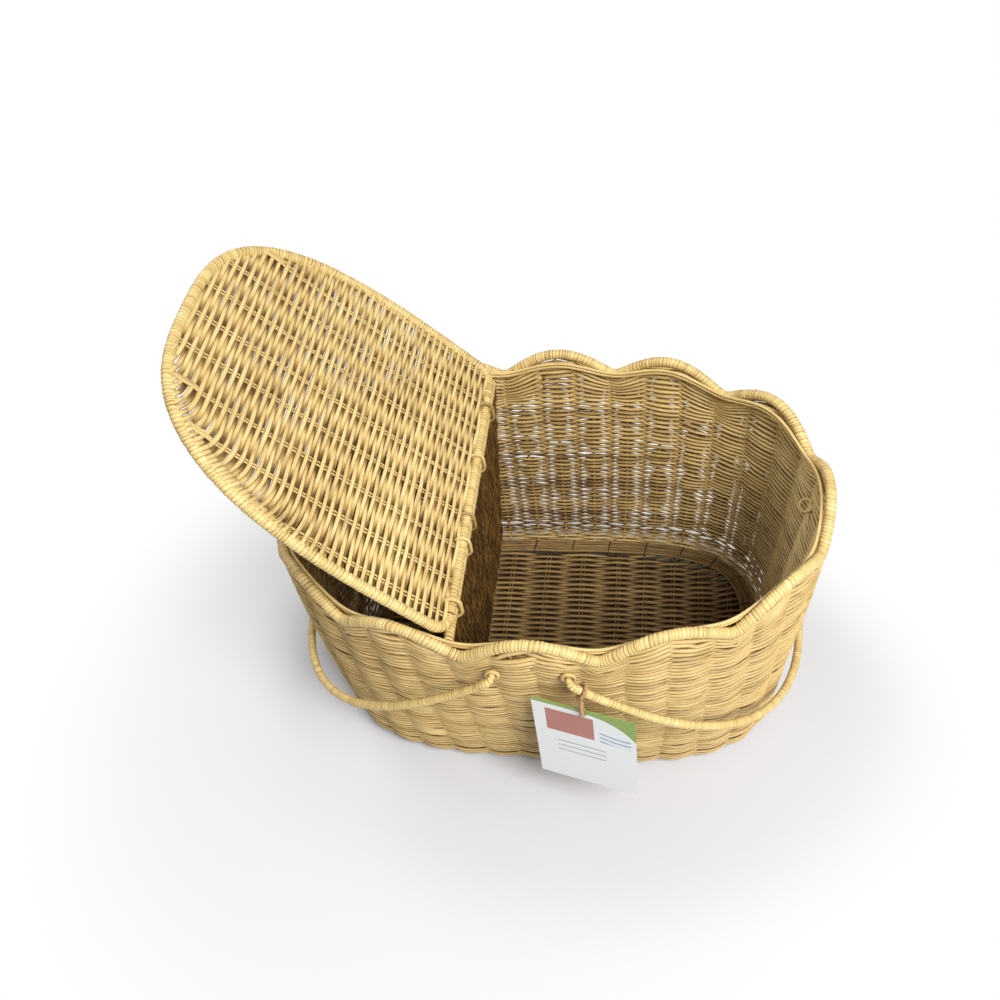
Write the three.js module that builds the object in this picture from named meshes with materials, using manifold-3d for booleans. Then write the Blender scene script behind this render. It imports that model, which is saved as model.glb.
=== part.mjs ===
// A scalloped wicker picnic basket with a flip lid and two swing handles, in millimetres, +Z up.
// The origin is the middle of the flat base. +X runs towards the end that the lid covers,
// -Y is the front. The lid is drawn open and both handles hang down.
import * as THREE from "three";
import { mergeVertices } from "three/addons/utils/BufferGeometryUtils.js";
import Module from "manifold-3d";

const wasm = await Module();
wasm.setup();

// Basket body
const RIM = { halfLength: 225, halfWidth: 157, power: 2.22 };
const BASE = { halfLength: 196, halfWidth: 127.8, power: 3.5 };
const VALLEY_HEIGHT = 213;
const SCALLOP_RISE = 21.8;
const SCALLOPS = 12;
const VALLEY_ROUNDNESS = 0.16;
const WALL_THICKNESS = 6.5;
const FOOT_ROUND = 11;
const FOOT_ROLL = THREE.MathUtils.degToRad(75);
const HOOP_RADIUS = 4.5;
const INNER_STRAND_RADIUS = 1.3;
const INNER_STRAND_RISE = 10;
const INNER_STRAND_LIFT = 6;
const INNER_STRANDS = 2;
const FOOT_RADIUS = 4.5;
const FLOOR_THICKNESS = 7;

// Divider and its rail
const DIVIDER_THICKNESS = 7;
const DIVIDER_FOOT_X = -74;
const RAIL_RADIUS = 4;

// Lid
const LID_TILT = THREE.MathUtils.degToRad(46.9);
const LID_AXIS_X = -61.9;
const LID_AXIS_RISE = 6.3;
const LID_END_INSET = 15.5;
const LID_SIDE_INSET = 10.7;
const LID_WIDEST_AT = 26.6;
const LID_POWER = 3;
const LID_CORNER = 20;
const LID_HOOP_RADIUS = 4.5;
const LID_PANEL_THICKNESS = 6.5;

// Cane loops that hold the lid's hinge bar on the rail: middle of each, and the cane's radius
const HINGE_LOOPS = [
  { name: "hinge_ring_front", y: -115, radius: 1.7 },
  { name: "hinge_tie_front", y: -56, radius: 1.3 },
  { name: "hinge_tie_middle", y: -30, radius: 1.3 },
  { name: "hinge_tie_back", y: 35, radius: 1.3 },
  { name: "hinge_ring_back", y: 97, radius: 1.7 },
];

// Swing handles
const HANDLE_RADIUS = 3.75;
const HANDLE_END_ROOM = 3.6;
const HANDLE_SIDE_ROOM = 11;
const HANDLE_WIDEST_AT = 39.3;
const HANDLE_POWER = 2.33;
const HANDLE_PIVOT_X = 28.6;
const HANDLE_PIVOT_DROP = 14.8;
const HANDLE_HANG = { left: THREE.MathUtils.degToRad(29.6), right: THREE.MathUtils.degToRad(34.2) };
const HANDLE_PIN_RADIUS = 2.2;
const EYE_RING_RADIUS = 4.6;
const EYE_CANE_RADIUS = 1.6;

// Small ring on the inside of the right end wall
const END_RING = { y: 20, drop: 26, ringRadius: 5, caneRadius: 1.5 };

// Card tag on a short string
const TAG_WIDTH = 82;
const TAG_HEIGHT = 120;
const TAG_THICKNESS = 0.6;
const TAG_YAW = THREE.MathUtils.degToRad(-13.7);
const TAG_HOLE_RADIUS = 2.8;
const TAG_HOLE_FROM_TOP = 6;
const TAG_STRING_DROP = 22;
const TAG_STRING_BEND = 4;
const TAG_STRING_RADIUS = 1.4;
const TAG_LOOP_RADIUS = 1.3;
const TAG_LOOP_AT = 12;

// Gaps
const SEAT_GAP = 0.3;
const RIM_GAP = 0.6;
const WALL_GAP = 0.8;
const LOOP_GAP = 0.5;
const LID_END_GAP = 0.3;

// Drawing steps
const STATIONS_PER_SCALLOP = 8;
const STATIONS = SCALLOPS * STATIONS_PER_SCALLOP;
const HOOP_SIDES = 8;
const STRAND_SIDES = 5;
const RING_STEPS = 16;
const RING_SIDES = 6;
const LID_CORNER_STEPS = 4;
const LID_BOW_STEPS = 48;
const HANDLE_STEPS = 60;
const TAG_STRING_STEPS = 12;
const LENGTH_SAMPLES = 1440;

// Sizes that follow the rim
const LID_AXIS = { x: LID_AXIS_X, z: VALLEY_HEIGHT + LID_AXIS_RISE + LID_HOOP_RADIUS };
const LID_LENGTH = RIM.halfLength - LID_AXIS.x - LID_END_INSET;
const LID_HALF_WIDTH = RIM.halfWidth - LID_SIDE_INSET;
const HANDLE_LENGTH = RIM.halfLength + HANDLE_END_ROOM;
const HANDLE_HALF_WIDTH = RIM.halfWidth + HANDLE_SIDE_ROOM;
const HANDLE_PIVOT = { x: HANDLE_PIVOT_X, z: VALLEY_HEIGHT - HANDLE_PIVOT_DROP };
const END_RING_Z = VALLEY_HEIGHT - END_RING.drop;

const CANE = { color: 0xd3ae6c, roughness: 0.6, metalness: 0 };
const CANE_LIGHT = { color: 0xdcb978, roughness: 0.55, metalness: 0 };
const CANE_DARK = { color: 0xb68e52, roughness: 0.65, metalness: 0 };
const CARD = { color: 0xf2f2ec, roughness: 0.5, metalness: 0 };
const TWINE = { color: 0xa98457, roughness: 0.85, metalness: 0 };

const UP = new THREE.Vector3(0, 0, 1);
const ACROSS = new THREE.Vector3(0, 1, 0);
const ALONG = new THREE.Vector3(1, 0, 0);

const root = new THREE.Group();

function material(finish) {
  return new THREE.MeshStandardMaterial(finish);
}

function add(parent, name, geometry, finish) {
  const mesh = new THREE.Mesh(geometry, material(finish));
  mesh.name = name;
  parent.add(mesh);
  return mesh;
}

// A closed geometry as a solid for cutting and joining.
function solid(geometry) {
  const bare = geometry.index ? geometry.toNonIndexed() : geometry.clone();
  bare.deleteAttribute("normal");
  bare.deleteAttribute("uv");
  const merged = mergeVertices(bare, 1e-4);
  return new wasm.Manifold(
    new wasm.Mesh({
      numProp: 3,
      vertProperties: new Float32Array(merged.attributes.position.array),
      triVerts: new Uint32Array(merged.index.array),
    }),
  );
}

function geometryOf(made) {
  const mesh = made.getMesh();
  const geometry = new THREE.BufferGeometry();
  geometry.setAttribute("position", new THREE.BufferAttribute(new Float32Array(mesh.vertProperties), 3));
  geometry.setIndex(new THREE.BufferAttribute(new Uint32Array(mesh.triVerts), 1));
  geometry.computeVertexNormals();
  return geometry;
}

function signedPower(value, power) {
  return Math.sign(value) * Math.abs(value) ** power;
}

// A point of an oval with squared shoulders, at a turn round it.
function ovalPoint(oval, turn) {
  return new THREE.Vector2(
    oval.halfLength * signedPower(Math.cos(turn), 2 / oval.power),
    oval.halfWidth * signedPower(Math.sin(turn), 2 / oval.power),
  );
}

function ovalNormal(oval, turn) {
  const share = 2 - 2 / oval.power;
  return new THREE.Vector2(
    signedPower(Math.cos(turn), share) / oval.halfLength,
    signedPower(Math.sin(turn), share) / oval.halfWidth,
  ).normalize();
}

// The oval's half-width at a place along its length.
function ovalHalfWidthAt(oval, x) {
  return oval.halfWidth * (1 - Math.abs(x / oval.halfLength) ** oval.power) ** (1 / oval.power);
}

// The turns round the rim that are evenly spaced along it, starting at the front middle.
function evenTurns(count) {
  const turns = [];
  let walked = 0;
  const lengths = [0];
  const start = -Math.PI / 2;
  const turnAt = (i) => start + (2 * Math.PI * i) / LENGTH_SAMPLES;
  for (let i = 1; i <= LENGTH_SAMPLES; i += 1) {
    walked += ovalPoint(RIM, turnAt(i)).distanceTo(ovalPoint(RIM, turnAt(i - 1)));
    lengths.push(walked);
  }
  let i = 0;
  for (let k = 0; k < count; k += 1) {
    const wanted = (walked * k) / count;
    while (lengths[i + 1] < wanted) i += 1;
    const share = (wanted - lengths[i]) / (lengths[i + 1] - lengths[i]);
    turns.push(turnAt(i + share));
  }
  return turns;
}

const TURNS = evenTurns(STATIONS);

// The wall's middle surface flares evenly from the base to the rim.
function ovalAt(z) {
  const share = Math.min(z / VALLEY_HEIGHT, 1);
  return {
    halfLength: THREE.MathUtils.lerp(BASE.halfLength, RIM.halfLength, share),
    halfWidth: THREE.MathUtils.lerp(BASE.halfWidth, RIM.halfWidth, share),
    power: THREE.MathUtils.lerp(BASE.power, RIM.power, share),
  };
}

// A point beside the wall's middle surface, at a station round it and a height.
function wallPoint(station, z, outwards) {
  const oval = ovalAt(z);
  const turn = TURNS[station % STATIONS];
  const point = ovalPoint(oval, turn).addScaledVector(ovalNormal(oval, turn), outwards);
  return new THREE.Vector3(point.x, point.y, z);
}

// At the foot the wall rolls under on an arc of FOOT_ROUND, which starts at this height.
const ROLL_HEIGHT = FOOT_ROUND + WALL_THICKNESS / 2;

// A point of the rolled foot: the roll's turn from upright, and the arc's radius there.
function rollPoint(station, turn, radius) {
  const outwards = radius * Math.cos(turn) - FOOT_ROUND;
  return wallPoint(station, ROLL_HEIGHT - radius * Math.sin(turn), outwards);
}

// Height of a scalloped line: round tops at whole scallops, narrow valleys between them.
function scallopHeight(station, rise, roundness = VALLEY_ROUNDNESS) {
  const wave = Math.cos((Math.PI * station) / STATIONS_PER_SCALLOP);
  const smooth = Math.hypot(wave, roundness);
  const top = Math.hypot(1, roundness);
  return VALLEY_HEIGHT + (rise * (smooth - roundness)) / (top - roundness);
}

function rimPoint(station) {
  const height = scallopHeight(station, SCALLOP_RISE);
  const point = ovalPoint(RIM, TURNS[(station + STATIONS) % STATIONS]);
  return new THREE.Vector3(point.x, point.y, height);
}

// Joins closed sections, one after another along a path, into one solid: a ring or a capped bar.
function sweep(sections, closed) {
  const rings = sections.length;
  const sides = sections[0].length;
  const positions = sections.flat().flatMap((point) => point.toArray());
  const index = [];
  for (let ring = 0; ring < (closed ? rings : rings - 1); ring += 1) {
    const next = (ring + 1) % rings;
    for (let side = 0; side < sides; side += 1) {
      const after = (side + 1) % sides;
      const a = ring * sides + side;
      const b = next * sides + side;
      const c = next * sides + after;
      const d = ring * sides + after;
      index.push(a, b, c, a, c, d);
    }
  }
  const last = (rings - 1) * sides;
  for (let side = 1; !closed && side < sides - 1; side += 1) {
    index.push(0, side, side + 1, last, last + side + 1, last + side);
  }
  const geometry = new THREE.BufferGeometry();
  geometry.setAttribute("position", new THREE.Float32BufferAttribute(positions, 3));
  geometry.setIndex(index);
  geometry.computeVertexNormals();
  return geometry;
}

// How far a polygon's corners stand out when its flats keep to a radius of 1.
function cornerReach(sides) {
  return 1 / Math.cos(Math.PI / sides);
}

// A round bar on a line of points. The normal is square to the plane that the line keeps near.
// The bar's flats, not its corners, keep to the radius.
function roundBar(line, { radius, sides, normal = UP, closed = false }) {
  const reach = radius * cornerReach(sides);
  const count = line.length;
  const sections = line.map((middle, i) => {
    const before = closed ? line.at(i - 1) : line[Math.max(i - 1, 0)];
    const after = closed ? line[(i + 1) % count] : line[Math.min(i + 1, count - 1)];
    const along = after.clone().sub(before).normalize();
    const outwards = new THREE.Vector3().crossVectors(along, normal).normalize();
    const up = new THREE.Vector3().crossVectors(outwards, along);
    return Array.from({ length: sides }, (_, side) => {
      const turn = (2 * Math.PI * (side + 0.5)) / sides;
      return middle
        .clone()
        .addScaledVector(outwards, reach * Math.cos(turn))
        .addScaledVector(up, reach * Math.sin(turn));
    });
  });
  return sweep(sections, closed);
}

const HOOP_REACH = HOOP_RADIUS * cornerReach(HOOP_SIDES);
const FOOT_REACH = FOOT_RADIUS * cornerReach(HOOP_SIDES);
const STRAND_REACH = INNER_STRAND_RADIUS * cornerReach(STRAND_SIDES);

// Wall
const WALL_SHOULDER = VALLEY_HEIGHT - 2 * HOOP_RADIUS;
const WALL_LEVELS = [0, 0.34, 0.67, 1].map((share) => {
  return THREE.MathUtils.lerp(ROLL_HEIGHT, WALL_SHOULDER, share);
});
const ROLL_TURNS = [FOOT_ROLL, FOOT_ROLL * 0.67, FOOT_ROLL * 0.33];

function wallTop(station) {
  const slope = (rimPoint(station + 1).z - rimPoint(station - 1).z)
    / rimPoint(station + 1).distanceTo(rimPoint(station - 1));
  const flat = Math.sqrt(1 - slope ** 2);
  return rimPoint(station).z - (HOOP_RADIUS + RIM_GAP) / flat;
}

function wallFace(station, outwards) {
  const roll = ROLL_TURNS.map((turn) => rollPoint(station, turn, FOOT_ROUND + outwards));
  const rows = [...WALL_LEVELS, wallTop(station)];
  return [...roll, ...rows.map((z) => wallPoint(station, z, outwards))];
}

function wallSection(station) {
  const half = WALL_THICKNESS / 2;
  return [...wallFace(station, half), ...wallFace(station, -half).reverse()];
}

const stations = Array.from({ length: STATIONS }, (_, i) => i);
add(root, "wall", sweep(stations.map(wallSection), true), CANE);

const rimBar = { radius: HOOP_RADIUS, sides: HOOP_SIDES, closed: true };
add(root, "rim_hoop", roundBar(stations.map(rimPoint), rimBar), CANE_LIGHT);

// Strands inside the top edge, which bridge the valleys in a flatter wave.
function innerStrand(number) {
  const inwards = HOOP_REACH + SEAT_GAP + STRAND_REACH;
  const drop = number * (2 * STRAND_REACH + SEAT_GAP);
  return stations.map((station) => {
    const height = scallopHeight(station, INNER_STRAND_RISE, 1) + INNER_STRAND_LIFT - drop;
    return wallPoint(station, height, -inwards);
  });
}
const strandBar = { radius: INNER_STRAND_RADIUS, sides: STRAND_SIDES, closed: true };
for (let i = 0; i < INNER_STRANDS; i += 1) {
  add(root, `rim_inner_strand_${i + 1}`, roundBar(innerStrand(i), strandBar), CANE);
}

// Foot and floor: the hoop seats against the end of the wall's roll, the floor lies inside the hoop
const ROLL_INSET = FOOT_ROUND - (FOOT_ROUND - WALL_THICKNESS / 2) * Math.cos(FOOT_ROLL);
const FOOT_INSET = ROLL_INSET + WALL_GAP + FOOT_REACH;
const FLOOR_INSET = FOOT_INSET + FOOT_REACH + SEAT_GAP;
const footLine = stations.map((station) => {
  const point = wallPoint(station, 0, -FOOT_INSET);
  return point.setZ(FOOT_RADIUS);
});
const footBar = { radius: FOOT_RADIUS, sides: HOOP_SIDES, closed: true };
add(root, "foot_hoop", roundBar(footLine, footBar), CANE_LIGHT);

const floorOutline = stations.map((station) => {
  const point = wallPoint(station, 0, -FLOOR_INSET);
  return new THREE.Vector2(point.x, point.y);
});
const floor = new THREE.ExtrudeGeometry(new THREE.Shape(floorOutline), {
  depth: FLOOR_THICKNESS,
  bevelEnabled: false,
});
add(root, "floor_panel", floor, CANE_DARK);

// Divider: a woven board that leans from its foot up to the rail under the lid's hinge bar
const RAIL_Z = LID_AXIS.z - LID_HOOP_RADIUS - LOOP_GAP - RAIL_RADIUS;
const DIVIDER_TOP_Z = RAIL_Z - RAIL_RADIUS - SEAT_GAP;
const DIVIDER_BOTTOM_Z = FLOOR_THICKNESS + SEAT_GAP;
const FOOT_TOP = 2 * FOOT_RADIUS + SEAT_GAP;
const DIVIDER_LEAN = (LID_AXIS.x - DIVIDER_FOOT_X) / (DIVIDER_TOP_Z - DIVIDER_BOTTOM_Z);
const BAR_SWEEP = LID_HOOP_RADIUS + LOOP_GAP;
const RAIL_SWEEP = RAIL_RADIUS + LOOP_GAP;
const LOOP_SWEEP = Math.max(BAR_SWEEP, RAIL_SWEEP);

// Half of the room between the wall's inner faces, at a place along the basket and a height.
function innerHalfWidth(x, z) {
  const drop = Math.max(ROLL_HEIGHT - z, 0);
  const inner = FOOT_ROUND - WALL_THICKNESS / 2;
  const inset = FOOT_ROUND - Math.sqrt(Math.max(inner ** 2 - drop ** 2, 0));
  return ovalHalfWidthAt(ovalAt(z), x) - Math.max(inset, z > FOOT_TOP ? 0 : FLOOR_INSET) - WALL_GAP;
}

function dividerX(z) {
  return DIVIDER_FOOT_X + (z - DIVIDER_BOTTOM_Z) * DIVIDER_LEAN;
}

function dividerBoard() {
  const rollMiddle = (FOOT_TOP + ROLL_HEIGHT) / 2;
  const rows = [DIVIDER_BOTTOM_Z, FOOT_TOP, FOOT_TOP + SEAT_GAP, rollMiddle, ROLL_HEIGHT, DIVIDER_TOP_Z];
  const half = DIVIDER_THICKNESS / 2;
  const side = rows.map((z) => {
    const reach = dividerX(z) - half;
    return new THREE.Vector2(innerHalfWidth(reach, z), z);
  });
  const mirrored = side.map((point) => new THREE.Vector2(-point.x, point.y)).reverse();
  const board = new THREE.ExtrudeGeometry(new THREE.Shape([...side, ...mirrored]), {
    depth: DIVIDER_THICKNESS,
    bevelEnabled: false,
  });
  // The outline's across and up become Y and Z, and the thickness runs along X.
  const stand = new THREE.Matrix4().set(
    0, DIVIDER_LEAN, 1, DIVIDER_FOOT_X - half - DIVIDER_BOTTOM_Z * DIVIDER_LEAN,
    1, 0, 0, 0,
    0, 1, 0, 0,
    0, 0, 0, 1,
  );
  return board.applyMatrix4(stand);
}

// A loop of cane in the XZ plane round the hinge bar above and the rail below.
function hingeLoop(caneRadius) {
  const arc = (z, sweepRadius, from) => {
    const reach = sweepRadius + caneRadius;
    const points = [];
    for (let i = 0; i <= RING_STEPS / 2; i += 1) {
      const turn = from + (Math.PI * i) / (RING_STEPS / 2);
      points.push(new THREE.Vector3(LID_AXIS.x + reach * Math.cos(turn), 0, z + reach * Math.sin(turn)));
    }
    return points;
  };
  const middle = [...arc(LID_AXIS.z, BAR_SWEEP, 0), ...arc(RAIL_Z, RAIL_SWEEP, Math.PI)];
  return roundBar(middle, { radius: caneRadius, sides: RING_SIDES, normal: ACROSS, closed: true });
}

// The room that a hinge loop needs in a board beside it.
function loopSlot(loop) {
  const width = 2 * (loop.radius * cornerReach(RING_SIDES) + LOOP_GAP);
  const reach = LOOP_SWEEP + 2 * loop.radius + WALL_GAP;
  const height = LID_AXIS.z - RAIL_Z + 2 * reach;
  const slot = new THREE.BoxGeometry(2 * reach, width, height);
  return slot.translate(LID_AXIS.x, loop.y, (LID_AXIS.z + RAIL_Z) / 2);
}

let divider = solid(dividerBoard());
for (const loop of HINGE_LOOPS) {
  divider = divider.subtract(solid(loopSlot(loop)));
}
add(root, "divider_panel", geometryOf(divider), CANE_DARK);

// The rail's ends reach the strands inside the top edge.
const STRAND_ROOM = HOOP_REACH + SEAT_GAP + 2 * STRAND_REACH;
const railHalf = ovalHalfWidthAt(RIM, LID_AXIS.x - RAIL_RADIUS) - STRAND_ROOM - WALL_GAP;
const rail = new THREE.CylinderGeometry(RAIL_RADIUS, RAIL_RADIUS, 2 * railHalf, 12);
add(root, "divider_rail", rail.translate(LID_AXIS.x, 0, RAIL_Z), CANE_LIGHT);

for (const loop of HINGE_LOOPS) {
  add(root, loop.name, hingeLoop(loop.radius).translate(0, loop.y, 0), CANE_LIGHT);
}

// Lid, drawn in its own frame: hinge axis along Y through the origin, lid lying along +X
const lid = new THREE.Group();
lid.position.set(LID_AXIS.x, 0, LID_AXIS.z);
lid.rotation.y = LID_TILT - Math.PI;
root.add(lid);

// Half of an oval beyond its widest place, and what is left of it back to the hinge.
function bowHalfWidth(bow, x) {
  const reach = bow.length - bow.widestAt;
  return bow.halfWidth * (1 - Math.abs((x - bow.widestAt) / reach) ** bow.power) ** (1 / bow.power);
}

// The bow's line from one side, round its far end, to the other side, between two ends at startX.
class BowCurve extends THREE.Curve {
  constructor(bow, startX) {
    super();
    this.bow = bow;
    this.reach = bow.length - bow.widestAt;
    this.endTurn = Math.acos(signedPower((startX - bow.widestAt) / this.reach, bow.power / 2));
  }

  getPoint(share, target = new THREE.Vector3()) {
    const { bow, reach } = this;
    const turn = this.endTurn * (2 * share - 1);
    return target.set(
      bow.widestAt + reach * signedPower(Math.cos(turn), 2 / bow.power),
      bow.halfWidth * signedPower(Math.sin(turn), 2 / bow.power),
      0,
    );
  }
}

function inset(bow, by) {
  return { ...bow, length: bow.length - by, halfWidth: bow.halfWidth - by };
}

// The lid's outline drawn in by some millimetres: the bow, and a round corner beside the hinge bar.
function lidOutline(by) {
  const centreX = LID_CORNER - LID_HOOP_RADIUS;
  const centreY = bowHalfWidth(LID_BOW, centreX) - LID_CORNER;
  const radius = LID_CORNER - by;
  const corner = [];
  for (let i = 0; i < LID_CORNER_STEPS; i += 1) {
    const turn = Math.PI + (Math.PI / 2) * (i / LID_CORNER_STEPS);
    corner.push(new THREE.Vector2(centreX + radius * Math.cos(turn), radius * Math.sin(turn) - centreY));
  }
  const bow = new BowCurve(inset(LID_BOW, by), centreX).getSpacedPoints(LID_BOW_STEPS);
  const otherCorner = corner.map((point) => new THREE.Vector2(point.x, -point.y)).reverse();
  return [...corner, ...bow.map((point) => new THREE.Vector2(point.x, point.y)), ...otherCorner];
}

const LID_BOW = {
  length: LID_LENGTH,
  halfWidth: LID_HALF_WIDTH,
  widestAt: LID_WIDEST_AT,
  power: LID_POWER,
};
const lidHoopLine = lidOutline(LID_HOOP_RADIUS).map((point) => new THREE.Vector3(point.x, point.y, 0));
const lidHoopBar = { radius: LID_HOOP_RADIUS, sides: HOOP_SIDES };
add(lid, "lid_hoop", roundBar(lidHoopLine, lidHoopBar), CANE_LIGHT);

// The hoop's ends lean by half a corner step, so the hinge bar stops short of them.
const endLean = Math.PI / (4 * LID_CORNER_STEPS);
const barHalf = -lidHoopLine[0].y - LID_HOOP_RADIUS * Math.tan(endLean) - LID_END_GAP;
const bar = new THREE.CylinderGeometry(LID_HOOP_RADIUS, LID_HOOP_RADIUS, 2 * barHalf, 12);
add(lid, "lid_hinge_bar", bar, CANE_LIGHT);

function lidPanel() {
  const outline = lidOutline(2 * LID_HOOP_RADIUS + WALL_GAP);
  const panel = new THREE.ExtrudeGeometry(new THREE.Shape(outline), {
    depth: LID_PANEL_THICKNESS,
    bevelEnabled: false,
  }).translate(0, 0, -LID_PANEL_THICKNESS / 2);
  let cut = solid(panel);
  for (const loop of HINGE_LOOPS) {
    const depth = 2 * (LOOP_SWEEP + 2 * loop.radius + LOOP_GAP);
    const width = 2 * (loop.radius * cornerReach(RING_SIDES) + LOOP_GAP);
    const notch = new THREE.BoxGeometry(depth, width, 2 * LID_PANEL_THICKNESS);
    cut = cut.subtract(solid(notch.translate(0, loop.y, 0)));
  }
  return geometryOf(cut);
}
add(lid, "lid_panel", lidPanel(), CANE);

// Handles, each drawn in its own frame: pivot axis along Y through the origin, grip along +X
const HANDLE_BOW = {
  length: HANDLE_LENGTH,
  halfWidth: HANDLE_HALF_WIDTH,
  widestAt: HANDLE_WIDEST_AT,
  power: HANDLE_POWER,
};

function wallOuterAt(x, z) {
  return ovalHalfWidthAt(ovalAt(z), x) + WALL_THICKNESS / 2;
}
const wallOuterAtPivot = wallOuterAt(HANDLE_PIVOT.x, HANDLE_PIVOT.z);
// The wall leans outwards, so an upright eye seats against it at the eye's top.
const wallLean = Math.atan2(RIM.halfWidth - BASE.halfWidth, VALLEY_HEIGHT);
const wallOuterAtEye = wallOuterAt(HANDLE_PIVOT.x - EYE_RING_RADIUS, HANDLE_PIVOT.z + EYE_RING_RADIUS);
const eyeY = wallOuterAtEye + (SEAT_GAP + EYE_CANE_RADIUS) / Math.cos(wallLean);
const armY = bowHalfWidth(HANDLE_BOW, 0);

function handleGeometry() {
  const line = new BowCurve(HANDLE_BOW, -HANDLE_RADIUS).getSpacedPoints(HANDLE_STEPS);
  let made = solid(roundBar(line, { radius: HANDLE_RADIUS, sides: HOOP_SIDES }));
  const pinLength = armY - wallOuterAtPivot - WALL_GAP;
  for (const side of [-1, 1]) {
    const pin = new THREE.CylinderGeometry(HANDLE_PIN_RADIUS, HANDLE_PIN_RADIUS, pinLength, 10);
    pin.translate(0, side * (armY - pinLength / 2), 0);
    made = made.add(solid(pin));
  }
  return geometryOf(made);
}

function addHandle(name, side, hang) {
  const group = new THREE.Group();
  group.position.set(side * HANDLE_PIVOT.x, 0, HANDLE_PIVOT.z);
  group.rotation.y = side > 0 ? hang : Math.PI - hang;
  root.add(group);
  add(group, name, handleGeometry(), CANE_LIGHT);
  return group;
}
addHandle("handle_left", -1, HANDLE_HANG.left);
const rightHandle = addHandle("handle_right", 1, HANDLE_HANG.right);

// Cane eyes on the outside of the wall, which the handles' pins turn in
for (const [sideName, side] of [["left", -1], ["right", 1]]) {
  for (const [faceName, face] of [["front", -1], ["back", 1]]) {
    const eye = new THREE.TorusGeometry(EYE_RING_RADIUS, EYE_CANE_RADIUS, RING_SIDES, RING_STEPS);
    eye.rotateX(Math.PI / 2);
    eye.translate(side * HANDLE_PIVOT.x, face * eyeY, HANDLE_PIVOT.z);
    add(root, `handle_eye_${sideName}_${faceName}`, eye, CANE_DARK);
  }
}

// Small ring lying flat on the inside of the right end wall
function endRing() {
  const oval = ovalAt(END_RING_Z);
  const turn = Math.asin(signedPower(END_RING.y / oval.halfWidth, oval.power / 2));
  const outwards = ovalNormal(oval, turn);
  const reach = END_RING.ringRadius + END_RING.caneRadius;
  const above = ovalPoint(ovalAt(END_RING_Z + reach), turn);
  const below = ovalPoint(ovalAt(END_RING_Z - reach), turn);
  const flare = Math.atan2(above.sub(below).dot(outwards), 2 * reach);
  const ring = new THREE.TorusGeometry(END_RING.ringRadius, END_RING.caneRadius, RING_SIDES, RING_STEPS);
  ring.rotateY(Math.PI / 2 + flare);
  ring.rotateZ(outwards.angle());
  const inwards = (WALL_THICKNESS / 2 + WALL_GAP + END_RING.caneRadius) / Math.cos(flare);
  const middle = ovalPoint(oval, turn).addScaledVector(outwards, -inwards);
  return ring.translate(middle.x, middle.y, END_RING_Z);
}
add(root, "end_ring", endRing(), CANE);

// String loop tied round the right handle's front arm
const loopRing = HANDLE_RADIUS * cornerReach(HOOP_SIDES) + SEAT_GAP + TAG_LOOP_RADIUS;
const loopY = -bowHalfWidth(HANDLE_BOW, TAG_LOOP_AT);
const tagLoop = new THREE.TorusGeometry(loopRing, TAG_LOOP_RADIUS, RING_SIDES, RING_STEPS);
tagLoop.rotateY(Math.PI / 2);
add(rightHandle, "tag_loop", tagLoop.translate(TAG_LOOP_AT, loopY, 0), TWINE);

// Card and its string hang from the front of that loop
const tag = new THREE.Group();
tag.position.set(
  HANDLE_PIVOT.x + TAG_LOOP_AT * Math.cos(HANDLE_HANG.right),
  loopY - loopRing - TAG_LOOP_RADIUS - SEAT_GAP - TAG_STRING_RADIUS,
  HANDLE_PIVOT.z - TAG_LOOP_AT * Math.sin(HANDLE_HANG.right),
);
root.add(tag);

// The card hangs behind the string's upright run, and the string turns in through its hole.
const CARD_Y = TAG_STRING_RADIUS + WALL_GAP + TAG_THICKNESS / 2;

const cardTurn = new THREE.Group();
cardTurn.position.y = CARD_Y;
cardTurn.rotation.z = TAG_YAW;
tag.add(cardTurn);

function card() {
  const top = TAG_HOLE_FROM_TOP;
  const shape = new THREE.Shape();
  shape.moveTo(-TAG_WIDTH / 2, top - TAG_HEIGHT);
  shape.lineTo(TAG_WIDTH / 2, top - TAG_HEIGHT);
  shape.lineTo(TAG_WIDTH / 2, top);
  shape.lineTo(-TAG_WIDTH / 2, top);
  const hole = new THREE.Path();
  hole.absarc(0, 0, TAG_HOLE_RADIUS, 0, 2 * Math.PI, true);
  shape.holes.push(hole);
  const made = new THREE.ExtrudeGeometry(shape, {
    depth: TAG_THICKNESS,
    curveSegments: 12,
    bevelEnabled: false,
  });
  made.rotateX(Math.PI / 2);
  return made.translate(0, TAG_THICKNESS / 2, -TAG_STRING_DROP);
}
add(cardTurn, "tag_card", card(), CARD);

const stringCurve = new THREE.CatmullRomCurve3([
  new THREE.Vector3(0, 0, 0),
  new THREE.Vector3(0, 0, -TAG_STRING_DROP / 2),
  new THREE.Vector3(0, 0, TAG_STRING_BEND / 2 - TAG_STRING_DROP),
  new THREE.Vector3(0, CARD_Y, -TAG_STRING_DROP),
  new THREE.Vector3(0, CARD_Y + TAG_STRING_BEND, -TAG_STRING_DROP),
]);
const stringLine = stringCurve.getSpacedPoints(TAG_STRING_STEPS);
const stringBar = { radius: TAG_STRING_RADIUS, sides: RING_SIDES, normal: ALONG };
add(tag, "tag_string", roundBar(stringLine, stringBar), TWINE);

export default root;
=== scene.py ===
"""A scalloped wicker picnic basket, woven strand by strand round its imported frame.

Sizes are in millimetres, as on the drawing, and meshes are written in metres. The origin is the
middle of the flat base, +X runs towards the end that the lid covers and -Y is the front.
"""

import logging
import math
from collections.abc import Callable
from dataclasses import astuple, dataclass
from enum import Enum
from functools import cached_property

import bpy
import numpy as np
from mathutils import Matrix, Vector


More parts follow.
